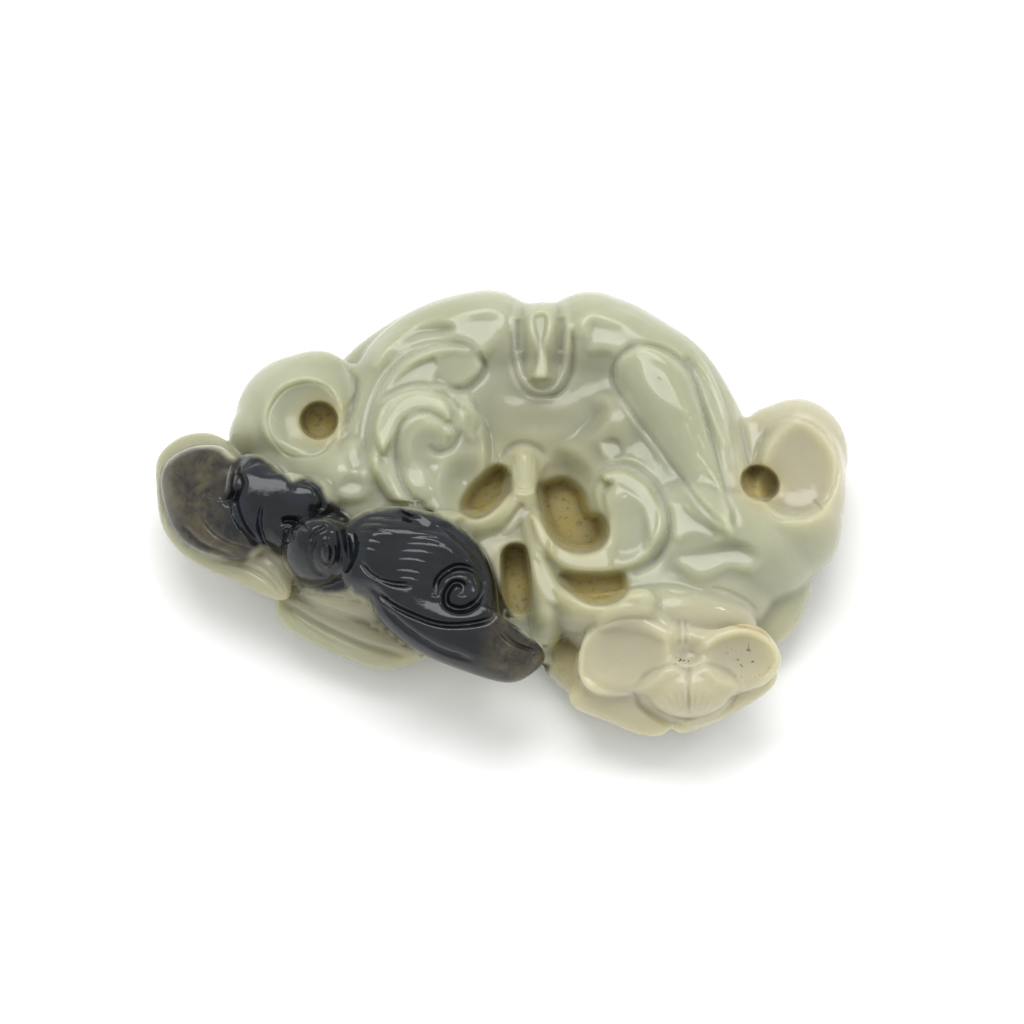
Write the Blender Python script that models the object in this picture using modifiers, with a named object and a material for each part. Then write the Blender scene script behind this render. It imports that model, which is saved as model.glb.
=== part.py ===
"""A small jade carving: a pebble worked as a scrolled fungus head with a dark bat, leaves and a flower."""

import math

import bmesh
import bpy
import numpy as np
from mathutils import Matrix, Quaternion, Vector

# Driving sizes, in metres
LENGTH = 0.070
DRILL_RADIUS = 0.00165
DRILL_DEPTH = 0.0030
FLAT_DEPTH = 0.0008
GRAIN = 0.00030
TRIANGLES = 9500

# The masses and cuts are free form, in hundredths of the length. Their x and y lie in the plane that
# faces the raised front view, and z is the height above the table.
UNIT = LENGTH / 100
RISE = math.radians(65)
SIN = math.sin(RISE)
COS = math.cos(RISE)
TOWARDS = np.array((0, -COS, SIN))
DRILL = DRILL_RADIUS / UNIT
DRILL_DEEP = DRILL_DEPTH / UNIT
BELLY = (2.0, -8.0)
BELLY_DEPTH = 1.5
BELLY_RISE = 6


# Each pocket's outline, the height of its floor and the width of its wall
POCKETS = (
    ([(-5.5, 0.6), (-4.9, 2.6), (-3.2, 4.6), (-0.7, 6.4), (0.6, 5.5), (0.1, 2.9), (-1.3, 0.9),
      (-3.5, -0.4)], 13.5, 1.8),
    ([(5.5, 2.9), (6.8, 4.3), (9.2, 4.6), (11.3, 2.9), (12.4, 0.0), (14.2, -1.0), (14.7, -3.3),
      (13.0, -5.1), (9.8, -5.1), (7.2, -3.0)], 12, 1.8),
    ([(0.1, -6.4), (1.0, -4.9), (2.9, -4.9), (3.6, -6.9), (4.0, -12.7), (3.0, -14.6), (1.4, -14.2),
      (0.3, -11.3)], 14, 1.0),
    ([(8.5, -9.1), (11.3, -9.0), (15.0, -9.1), (17.2, -9.0), (17.5, -11.3), (15.0, -12.9),
      (11.6, -12.4)], 17.5, 1.6),
)


def seen(point):
    """The place at height z that shows at (x, y) when the carving is looked at from RISE."""
    x, y, z = point
    return Vector((x, (y - z * COS) / SIN, z))


def spline(points, steps=6, closed=False):
    """A smooth curve (Catmull-Rom) through the points."""
    p = np.array(points, float)
    if closed:
        q = np.vstack([p[-1:], p, p[:2]])
    else:
        q = np.vstack([2 * p[0] - p[1], p, 2 * p[-1] - p[-2]])
    t = (np.arange(steps) / steps)[:, None]
    curve = []
    for a, b, c, d in zip(q, q[1:], q[2:], q[3:]):
        curve.append(0.5 * (2 * b + (c - a) * t + (2 * a - 5 * b + 4 * c - d) * t ** 2
                            + (3 * b - a - 3 * c + d) * t ** 3))
    if not closed:
        curve.append(p[-1:])
    return np.vstack(curve)


def loft(bm, rings):
    """A closed skin over rings of equally many points."""
    rows = [[bm.verts.new(p) for p in ring] for ring in rings]
    for lower, upper in zip(rows, rows[1:]):
        for j in range(len(lower)):
            bm.faces.new((lower[j - 1], lower[j], upper[j], upper[j - 1]))
    bm.faces.new(rows[0])
    bm.faces.new(rows[-1])


def ball(bm, at, radii, turn=0.0):
    """An ellipsoid with its centre at the place, turned about the vertical."""
    place = Matrix.LocRotScale(seen(at), Quaternion((0, 0, 1), math.radians(turn)), Vector(radii))
    bmesh.ops.create_uvsphere(bm, u_segments=24, v_segments=16, radius=1.0, matrix=place)


def ridge(bm, path, tall=1.0, around=20):
    """A rounded roll along (x, y, z, radius) points, its section taller than wide by the ratio tall."""
    p = spline(path)
    centres = np.array([seen(q[:3]) for q in p])
    ways = np.gradient(centres, axis=0)
    ways /= np.linalg.norm(ways, axis=1)[:, None]
    stations = list(zip(centres, p[:, 3], ways))
    caps = np.radians((80, 60, 40, 20))
    start, end = stations[0], stations[-1]
    first = [(start[0] - start[2] * start[1] * math.sin(a), start[1] * math.cos(a), start[2]) for a in caps]
    last = [(end[0] + end[2] * end[1] * math.sin(a), end[1] * math.cos(a), end[2]) for a in caps[::-1]]
    a = np.linspace(0, 2 * math.pi, around, endpoint=False)[:, None]
    up = np.array((0, 0, 1))
    rings = []
    for centre, radius, way in first + stations + last:
        side = np.cross(up, way)
        side /= np.linalg.norm(side)
        rings.append(centre + radius * (np.cos(a) * side + tall * np.sin(a) * up))
    loft(bm, rings)


def pad(bm, outline, z, thick, rim, lean=(0.0, 0.0), under=None):
    """A cushion inside an outline; z is its mid height, lean its slope and rim the roundness of its edge."""
    o = spline(outline, 5, closed=True)
    mid = o.mean(0)
    reach = np.linalg.norm(o - mid, axis=1).mean()
    insets = (0.0, 0.02, 0.06, 0.12, 0.2, 0.3, 0.45, 0.6, 0.8, 0.95)
    levels = [(t, thick if under is None else under, -1) for t in insets[:0:-1]]
    levels += [(t, thick, 1) for t in insets]
    rings = []
    for inset, full, way in levels:
        curl = rim - min(inset * reach, rim)
        rise = math.sqrt(rim ** 2 - curl ** 2) + (full - rim) * (1 - (1 - inset) ** 2)
        q = mid + (o - mid) * (1 - inset)
        level = z + (q - mid) @ lean
        rings.append([seen((x, y, w)) + Vector((0, 0, way * rise)) for (x, y), w in zip(q, level)])
    loft(bm, rings)


def core(bm):
    """The body of the pebble and the smooth swellings that carry the relief."""
    outline = [(-37.9, 10.4), (-34.7, 16.5), (-26.6, 20.2), (-22.0, 19.8), (-14.7, 24.1), (-3.2, 27.0),
               (5.5, 26.3), (12.7, 26.6), (21.4, 24.1), (29.3, 18.4), (35.5, 11.8), (42.5, 11.3),
               (45.1, 6.9), (44.5, 0.6), (40.8, -4.9), (35.0, -11.0), (28.6, -18.5), (14.2, -18.5),
               (4.0, -17.1), (-10.4, -12.7), (-24.9, -6.9), (-36.4, 0.3)]
    pad(bm, outline, 12.0, 9.2, rim=6.5, under=11.0)
    ball(bm, (5.6, 14.7, 12), (9, 9, 9.6))
    ball(bm, (34.0, -5.5, 13), (11.8, 8.8, 10.6))
    ball(bm, (41.0, -1.7, 13.5), (8.2, 8.4, 10.2))
    ball(bm, (27.5, -4.8, 12), (13.0, 10.0, 11.0))
    ball(bm, (-24.1, 3.9, 12), (10, 8, 9.0))
    ball(bm, (-21.7, 2.3, 12), (9, 7, 10.2))
    ball(bm, (28.6, -11.8, 12), (10.6, 7, 8.2))


def humps(bm):
    """The rolled shoulders at the top, with the tongue's root between them."""
    ridge(bm, [(-1.9, 23.7, 14, 8.2), (-6.6, 23.1, 14, 7.8), (-10.8, 21.8, 14, 7.3), (-14.6, 19.4, 14, 6.6),
               (-17.3, 15.9, 14, 5.7), (-19.7, 11.0, 14, 5.2), (-20.5, 5.5, 14, 5.0)], tall=1.32)
    ridge(bm, [(12.7, 23.4, 14, 8.2), (16.9, 22.3, 14, 7.7), (20.8, 20.5, 14, 7.2), (24.4, 18.4, 14, 6.8),
               (27.5, 15.0, 14, 6.1), (29.9, 10.7, 14, 5.7), (31.6, 5.8, 14, 5.2), (33.7, 1.0, 14, 5.6)],
          tall=1.36)
    ball(bm, (5.8, 23.4, 14), (6.4, 6.6, 9.4))
    ridge(bm, [(-22.4, 19.4, 11, 2.3), (-19.9, 21.7, 11, 2.5), (-15.8, 24.6, 11, 2.6), (-11.1, 27.0, 11, 2.7),
               (-6.4, 28.0, 11, 2.2)], tall=1.6)


def scrolls(bm):
    """Low domes under the two scrolls and the teardrop."""
    ball(bm, (-11.0, 9.0, 12), (9.8, 10.6, 12.0))
    ball(bm, (16.8, 0.0, 12), (9.4, 9.2, 11.0))
    ball(bm, (15.0, 9.2, 12), (9.4, 8.6, 10.8))
    ridge(bm, [(20.8, 18.5, 13, 7.0), (23.4, 14.0, 13, 7.2), (26.3, 8.7, 13, 6.6), (29.2, 2.6, 13, 5.8),
               (31.5, -2.6, 13, 5.4)], tall=1.5)


def cups(bm):
    """The two curled lobes at the sides."""
    ball(bm, (42.6, 8.1, 13), (7.6, 8.2, 9.4))
    ridge(bm, [(38.4, 11.0, 14, 3.6), (41.3, 12.0, 14, 3.3), (43.9, 10.4, 14, 3.6), (45.4, 6.6, 14, 4.0),
               (45.2, 1.4, 14, 4.4), (42.8, -3.5, 13.5, 4.8)], tall=1.75)
    ball(bm, (-28.8, 13.0, 13), (10.0, 10.0, 9.6))
    ridge(bm, [(-35.0, 10.7, 13, 4.7), (-32.7, 14.3, 13, 4.8), (-29.6, 17.1, 14, 4.9), (-26.3, 18.5, 14, 4.6),
               (-23.7, 18.2, 14, 3.6)], tall=1.5)


def stems(bm):
    """The bundle at the middle, which parts round the pockets."""
    ridge(bm, [(3.2, 7.2, 17, 2.9), (3.3, 4.3, 18, 2.8), (3.3, 1.0, 19, 2.8)], tall=1.8)
    ridge(bm, [(3.2, 1.0, 18.5, 2.4), (0.1, -1.3, 18.5, 2.3), (-4.3, -2.6, 18.5, 2.2), (-9.0, -3.5, 17, 3)],
          tall=2.2)
    ridge(bm, [(3.5, 1.0, 18, 2.0), (5.1, -3.0, 17.5, 2.0), (8.1, -6.4, 17, 2.2), (12.7, -7.1, 16, 2.3),
               (17.1, -6.9, 14, 2.3)], tall=2.2)
    ridge(bm, [(3.3, 0.0, 17.5, 2.2), (4.6, -5.5, 17, 2.0), (5.6, -11.3, 16.5, 2.1), (6.4, -16.3, 15, 2.4)],
          tall=2.3)
    ridge(bm, [(5.6, -9.1, 16.5, 2.0), (7.7, -13.0, 16.5, 2.1), (12.0, -15.2, 16.5, 2.6),
               (19.9, -14.7, 17, 3)], tall=2.3)
    ridge(bm, [(5.5, -15.6, 8, 4), (8.7, -20.7, 7.5, 3.4), (13.0, -22.8, 9.5, 5)])


def bat(bm):
    """A bat with its wings spread, lying over the near edge."""
    left_wing = [(-49.1, 2.9), (-48.6, 6.9), (-45.1, 9.0), (-41.0, 9.1), (-38.2, 7.2), (-37.0, 7.9),
                 (-33.8, 7.5), (-30.3, 4.3), (-28.9, 4.8), (-26.6, 3.8), (-25.3, 1.2), (-26.3, -1.9),
                 (-30.3, -6.4), (-33.8, -5.2), (-36.4, -6.9), (-41.5, -6.4), (-46.8, -3.2)]
    right_wing = [(-24.1, -4.8), (-21.2, -0.6), (-15.5, 0.6), (-9.0, -0.7), (-3.5, -4.3), (-0.9, -9.8),
                  (0.0, -15.3), (2.6, -18.5), (6.2, -20.2), (5.1, -22.4), (1.3, -24.1), (-5.9, -22.1),
                  (-13.2, -18.9), (-17.9, -14.9), (-19.4, -12.3), (-22.7, -10.4)]
    pad(bm, left_wing, 18, 6.0, rim=2.6, lean=(0.14, 0.05))
    ball(bm, (-26.0, -5.8, 20), (5.6, 4.4, 8.0))
    ball(bm, (-26.9, -4.9, 14), (8, 6, 7))
    ball(bm, (-28.0, 0.0, 16), (5.4, 4.6, 7.6))
    pad(bm, right_wing, 20, 6.6, rim=3.0, lean=(-0.05, 0.15))


def leaves(bm):
    """Two leaves below the bat."""
    left_leaf = [(-50.0, 3.9), (-49.6, 8.2), (-45.8, 11.1), (-40.5, 10.7), (-35.0, 4.6), (-30.6, -6.9),
                 (-30.9, -12.7), (-37.9, -10.1), (-44.8, -6.9), (-48.8, -2.6)]
    near_leaf = [(-32.5, -12.4), (-29.2, -9.1), (-19.1, -10.5), (-9.0, -18.5), (-11.1, -21.0),
                 (-17.3, -22.5), (-24.1, -20.1), (-31.4, -16.3)]
    pad(bm, left_leaf, 14, 3.2, rim=1.2, lean=(0.05, 0.0))
    pad(bm, near_leaf, 10, 3.2, rim=1.2, lean=(0.0, 0.15))
    ball(bm, (-20.5, -11.3, 11), (9, 6, 8))
    ball(bm, (-7.5, -14.2, 13), (9, 6, 9))


def skirt(bm):
    """The lower layer that shows behind the body at the right."""
    outline = [(33.7, -13.4), (38.7, -9.8), (43.4, -8.5), (44.8, -10.3), (43.9, -13.7), (42.1, -16.8),
               (39.3, -18.9), (34.4, -18.8)]
    pad(bm, outline, 8.5, 3.4, rim=1.5, lean=(0.0, 0.1), under=5.0)


def flower(bm):
    """Two open petals with a bud in front of them and two flat petals below."""
    open_petals = [(11.0, -23.4), (10.8, -20.7), (11.8, -17.6), (13.3, -15.5), (17.3, -14.7), (21.7, -15.2),
                   (26.3, -16.5), (30.9, -17.2), (35.1, -16.3), (37.9, -17.2), (39.9, -20.2), (39.6, -22.3),
                   (37.6, -24.4), (34.7, -25.3), (30.3, -27.2), (24.3, -27.5), (19.4, -26.0), (15.0, -26.0),
                   (12.4, -25.4)]
    pad(bm, open_petals, 17, 3.6, rim=1.9, lean=(0.0, 0.22), under=7.0)
    ball(bm, (22.8, -16.3, 13), (14, 6, 8.0))
    ball(bm, (26.6, -25.4, 15.4), (6.2, 4.0, 3.9))
    pad(bm, [(10.0, -24.9), (14.2, -22.1), (25.7, -22.8), (24.1, -31.1), (19.9, -31.8), (14.9, -29.8),
             (10.0, -27.7)], 12, 2.6, rim=0.8, lean=(0.0, 0.35))
    pad(bm, [(24.4, -31.1), (24.3, -22.8), (34.4, -21.4), (39.3, -22.5), (38.7, -25.1), (34.4, -28.0),
             (29.3, -30.5)], 12, 2.6, rim=1.0, lean=(0.0, 0.35))
    ball(bm, (24.0, -25.7, 11), (10, 4.5, 6.5))
    ball(bm, (15.9, -22.4, 11), (5.6, 5, 7))


def remesh(mesh, grain, soften):
    """One skin of even facets round everything, softened over a width of about the root of soften."""
    holder = bpy.data.objects.new("clay", mesh)
    bpy.context.scene.collection.objects.link(holder)
    skin = holder.modifiers.new("skin", "REMESH")
    skin.mode = "VOXEL"
    skin.voxel_size = grain
    soft = holder.modifiers.new("soft", "SMOOTH")
    soft.factor = 0.5
    soft.iterations = max(1, round(soften / grain ** 2))
    evaluated = holder.evaluated_get(bpy.context.evaluated_depsgraph_get())
    result = bpy.data.meshes.new_from_object(evaluated)
    bpy.data.objects.remove(holder)
    bpy.data.meshes.remove(mesh)
    return result


def places(mesh):
    co = np.empty(len(mesh.vertices) * 3, np.float32)
    mesh.vertices.foreach_get("co", co)
    return co.reshape(-1, 3).astype(float)


def move(mesh, co):
    mesh.vertices.foreach_set("co", co.astype(np.float32).ravel())
    mesh.update()


class Skin:
    """The side of the mesh that shows from RISE, and the tools that cut into it."""

    def __init__(self, mesh, cell=1.3, slack=7.0):
        self.mesh = mesh
        self.co = places(mesh)
        normals = np.empty(len(self.co) * 3, np.float32)
        mesh.vertex_normals.foreach_get("vector", normals)
        self.x = self.co[:, 0]
        self.y = self.co[:, 1] * SIN + self.co[:, 2] * COS
        self.near = self.co @ TOWARDS
        column = np.floor((self.x - self.x.min()) / cell).astype(int)
        row = np.floor((self.y - self.y.min()) / cell).astype(int)
        top = np.full((column.max() + 1, row.max() + 1), -1e9)
        np.maximum.at(top, (column, row), self.near)
        front = np.clip((self.near - top[column, row] + slack) / 2, 0, 1)
        facing = np.clip((normals.reshape(-1, 3) @ TOWARDS + 0.5) / 0.4, 0, 1)
        self.shows = front * facing

    def press(self, pick, depth):
        self.co[pick] -= (depth * self.shows[pick])[:, None] * TOWARDS

    def beside(self, p, reach):
        """The points that show within reach of a run of points: how far off each is, and how far along."""
        run = np.concatenate([[0], np.cumsum(np.linalg.norm(np.diff(p, axis=0), axis=1))])
        low, high = p.min(0) - reach, p.max(0) + reach
        box = (self.x > low[0]) & (self.x < high[0]) & (self.y > low[1]) & (self.y < high[1])
        pick = np.nonzero(box & (self.shows > 0))[0]
        here = np.column_stack([self.x[pick], self.y[pick]])
        best = np.full(len(pick), 1e9)
        along = np.zeros(len(pick))
        for i, (a, b) in enumerate(zip(p, p[1:])):
            step = b - a
            t = np.clip((here - a) @ step / (step @ step + 1e-12), 0, 1)
            away = np.linalg.norm(here - a - t[:, None] * step, axis=1)
            closer = away < best
            best[closer] = away[closer]
            along[closer] = (run[i] + t[closer] * (run[i + 1] - run[i])) / run[-1]
        return pick, best, along

    def groove(self, path, width, depth, taper=0.15):
        """A line cut along the path; it fades in and out over the share taper of its length."""
        pick, best, along = self.beside(spline(path, 8), 2.5 * width)
        fade = 1.0
        if taper:
            fade = np.clip(np.minimum(along, 1 - along) / taper, 0, 1) ** 0.6
        self.press(pick, depth * fade * np.exp(-(best / width) ** 2))

    def roll(self, path, height, taper=0.1, round=0.7):
        """A rounded band raised along (x, y, half width) points."""
        p = spline(path, 8)
        pick, best, along = self.beside(p[:, :2], p[:, 2].max())
        run = np.concatenate([[0], np.cumsum(np.linalg.norm(np.diff(p[:, :2], axis=0), axis=1))])
        width = np.interp(along, run / run[-1], p[:, 2])
        fade = np.clip(np.minimum(along, 1 - along) / taper, 0, 1) ** 0.5 if taper else 1.0
        self.press(pick, -height * fade * np.clip(1 - (best / width) ** 2, 0, 1) ** round)

    def facet(self, outline, lean=0.0, edge=0.9):
        """A flat polished inside an outline, level or leaning down towards the viewer by lean degrees."""
        pick, share = self.inside(outline, edge)
        middle = np.average(self.co[pick], axis=0, weights=share * self.shows[pick] + 1e-9)
        flat = np.array((0, -math.sin(math.radians(lean)), math.cos(math.radians(lean))))
        self.press(pick, (self.co[pick] - middle) @ flat / (TOWARDS @ flat) * share)

    def lift(self, outline, height, edge):
        """A low plateau raised inside an outline, its slope as wide as edge."""
        pick, share = self.inside(outline, edge)
        self.press(pick, -height * share)

    def spot(self, at, radii, turn, depth, edge=None, power=1.0):
        """A round or oval hollow: a dish, or a hole with steep walls where edge is given."""
        phi = math.radians(turn)
        dx, dy = self.x - at[0], self.y - at[1]
        u = (dx * math.cos(phi) + dy * math.sin(phi)) / radii[0]
        v = (dy * math.cos(phi) - dx * math.sin(phi)) / radii[1]
        r = np.hypot(u, v)
        pick = np.nonzero((r < 1 + (edge or 0)) & (self.shows > 0))[0]
        if edge:
            shape = np.clip((1 + edge - r[pick]) / edge, 0, 1)
        else:
            shape = (1 - r[pick] ** 2) ** power
        self.press(pick, depth * shape)

    def inside(self, outline, edge):
        """The points that show inside an outline, and how far in they are, from 0 to 1 across its edge."""
        o = spline(outline, 6, closed=True)
        low, high = o.min(0) - edge, o.max(0) + edge
        box = (self.x > low[0]) & (self.x < high[0]) & (self.y > low[1]) & (self.y < high[1])
        pick = np.nonzero(box & (self.shows > 0))[0]
        here = np.column_stack([self.x[pick], self.y[pick]])
        within = np.zeros(len(pick), bool)
        away = np.full(len(pick), 1e9)
        for a, b in zip(o, np.roll(o, -1, axis=0)):
            step = b - a
            t = np.clip((here - a) @ step / (step @ step + 1e-12), 0, 1)
            away = np.minimum(away, np.linalg.norm(here - a - t[:, None] * step, axis=1))
            crosses = (a[1] > here[:, 1]) != (b[1] > here[:, 1])
            if step[1]:
                within ^= crosses & (here[:, 0] < a[0] + step[0] * (here[:, 1] - a[1]) / step[1])
        share = np.clip(0.5 + np.where(within, away, -away) / edge, 0, 1)
        return pick, share ** 2 * (3 - 2 * share)

    def sink(self, outline, floor, edge):
        """A pocket cut down to a floor at the height given, with walls as steep as edge is small."""
        pick, share = self.inside(outline, edge)
        bottom = (floor - self.y[pick] * COS) / SIN
        self.press(pick, np.maximum(0, self.near[pick] - bottom) * share)

    def done(self):
        move(self.mesh, self.co)
        return self.mesh


def bowl(skin):
    """The ground falls gently from the rim towards the middle."""
    skin.spot((5.6, 7.5), (17.5, 14.0), 0, 4.4, power=1.5)


def scroll_relief(skin):
    """The left scroll with the comma-shaped band over it, and the right scroll with its knuckle."""
    skin.lift([(-2.2, 10.4), (-3.5, 14.5), (-7.2, 15.9), (-10.1, 17.5), (-13.9, 17.8), (-17.1, 15.9),
               (-18.6, 12.7), (-18.8, 9.0), (-17.8, 5.2), (-15.6, 1.6), (-12.4, -1.0), (-8.1, -1.9),
               (-4.6, 0.0), (-2.9, 3.5), (-2.2, 7.2)], 1.5, 1.4)
    skin.roll([(-7.2, 14.2, 1.2), (-10.1, 15.6, 1.9), (-13.6, 15.0, 2.3), (-16.2, 12.7, 2.5),
               (-17.1, 9.2, 2.4), (-16.5, 5.8, 2.0), (-14.9, 2.5, 1.5), (-12.1, -0.1, 1.0)], 0.9, round=0.4)
    skin.spot((-10.7, 9.1), (2.6, 3.4), 0, 1.1)
    skin.spot((-7.2, 11.7), (1.4, 1.3), 0, -0.9)
    skin.spot((-12.1, 4.3), (2.4, 3.2), 20, -0.6)
    skin.roll([(-19.2, 4.0, 1.0), (-18.8, 9.7, 1.8), (-17.1, 14.7, 2.7), (-14.2, 18.6, 3.4),
               (-10.4, 20.8, 3.5), (-6.6, 21.0, 3.0), (-4.0, 20.4, 1.6)], 1.2, taper=0.3, round=0.4)
    skin.lift([(-9.5, 19.9), (-9.0, 22.5), (-6.8, 23.6), (-4.3, 23.0), (-2.6, 21.1), (-4.0, 18.9),
               (-6.1, 17.6), (-8.2, 17.9)], 0.8, 1.1)
    skin.lift([(-6.8, 16.8), (-5.2, 17.1), (-3.8, 15.8), (-3.2, 13.3), (-4.0, 10.4), (-5.6, 11.8),
               (-6.2, 14.7)], 0.8, 1.4)
    skin.lift([(9.1, 8.7), (9.4, 11.0), (11.7, 13.3), (14.7, 14.7), (17.6, 13.3), (19.4, 10.4), (19.9, 7.8),
               (15.9, 7.1), (12.7, 6.1), (10.1, 6.6)], 1.0, 3.6)
    skin.lift([(5.2, -0.3), (6.8, -3.2), (8.4, -5.2), (10.7, -5.8), (13.3, -5.6), (15.0, -4.0),
               (15.3, -1.2), (15.0, 2.9), (17.3, 4.9), (20.5, 3.5), (22.4, 0.0), (22.5, -3.5), (20.8, -6.4),
               (17.3, -8.2), (12.4, -9.0), (8.7, -8.1), (6.4, -5.8), (4.9, -2.6)], 1.3, 1.2)
    skin.roll([(13.9, 4.5, 1.0), (16.2, 5.3, 1.7), (19.4, 4.0, 2.1), (21.4, 1.0, 2.2), (22.1, -2.3, 1.6),
               (21.4, -4.8, 0.8)], 0.6, taper=0.2, round=0.4)
    skin.spot((17.6, 0.0), (3.2, 3.8), 10, 0.4, power=0.8)
    skin.lift([(13.2, 3.3), (14.2, 4.2), (15.2, 2.6), (15.5, 0.6), (14.7, -0.7), (13.6, 0.7)], 0.9, 0.9)


def petal_relief(skin):
    """The turned edges of the petals and the two halves of the bud."""
    skin.roll([(13.3, -15.9, 1.2), (17.3, -15.0, 1.9), (21.4, -15.6, 2.1), (24.6, -17.6, 1.4)], 0.8)
    skin.roll([(12.1, -17.3, 0.7), (11.1, -20.7, 0.7), (11.4, -24.0, 0.7), (14.7, -25.9, 0.6),
               (18.8, -25.7, 0.6)], 0.5)
    skin.roll([(27.5, -19.9, 0.6), (31.2, -17.8, 0.7), (35.1, -16.9, 0.7), (38.4, -18.5, 0.7),
               (39.6, -21.1, 0.7), (37.7, -24.1, 0.6), (34.1, -25.3, 0.6)], 0.5)
    for way in (-1, 1):
        skin.spot((26.6 + 2.9 * way, -24.9), (3.6, 4.0), 20 * way, -0.7, power=0.8)


def middle_relief(skin):
    """The teardrop, the tongue and the stem."""
    drop = [(16.2, 19.1), (16.6, 22.3), (19.5, 24.1), (22.1, 23.4), (24.9, 21.4), (26.7, 19.4),
            (28.3, 16.0), (29.5, 12.4), (30.5, 9.0), (31.8, 4.6), (32.9, 0.6), (32.7, -3.2), (29.0, -0.4),
            (26.9, 2.5), (24.9, 5.8), (22.1, 9.1), (19.4, 12.4), (17.3, 15.6)]
    skin.lift(drop, 1.2, 1.3)
    skin.lift(drop, 0.9, 6.0)
    skin.roll([(9.2, 26.3, 1.0), (14.2, 26.9, 2.6), (19.9, 26.0, 2.8), (25.1, 23.1, 2.4), (29.2, 18.2, 1.8),
               (31.8, 12.1, 1.4), (33.2, 6.4, 1.0)], 0.6)
    skin.lift([(2.2, 30.6), (9.1, 30.6), (9.7, 22.5), (8.4, 18.4), (6.2, 16.6), (3.8, 17.2), (1.7, 18.9),
               (1.4, 22.5)], 0.7, 1.0)
    skin.roll([(5.6, 31.2, 2.5), (5.6, 24.9, 2.3), (5.6, 19.1, 2.1)], 1.7, taper=0.03)
    skin.lift([(0.1, 7.2), (1.2, 9.1), (3.2, 10.0), (5.2, 9.2), (6.4, 7.2), (5.2, 4.3), (4.9, 2.6),
               (1.7, 2.6), (1.3, 4.6)], 0.8, 1.0)


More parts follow.
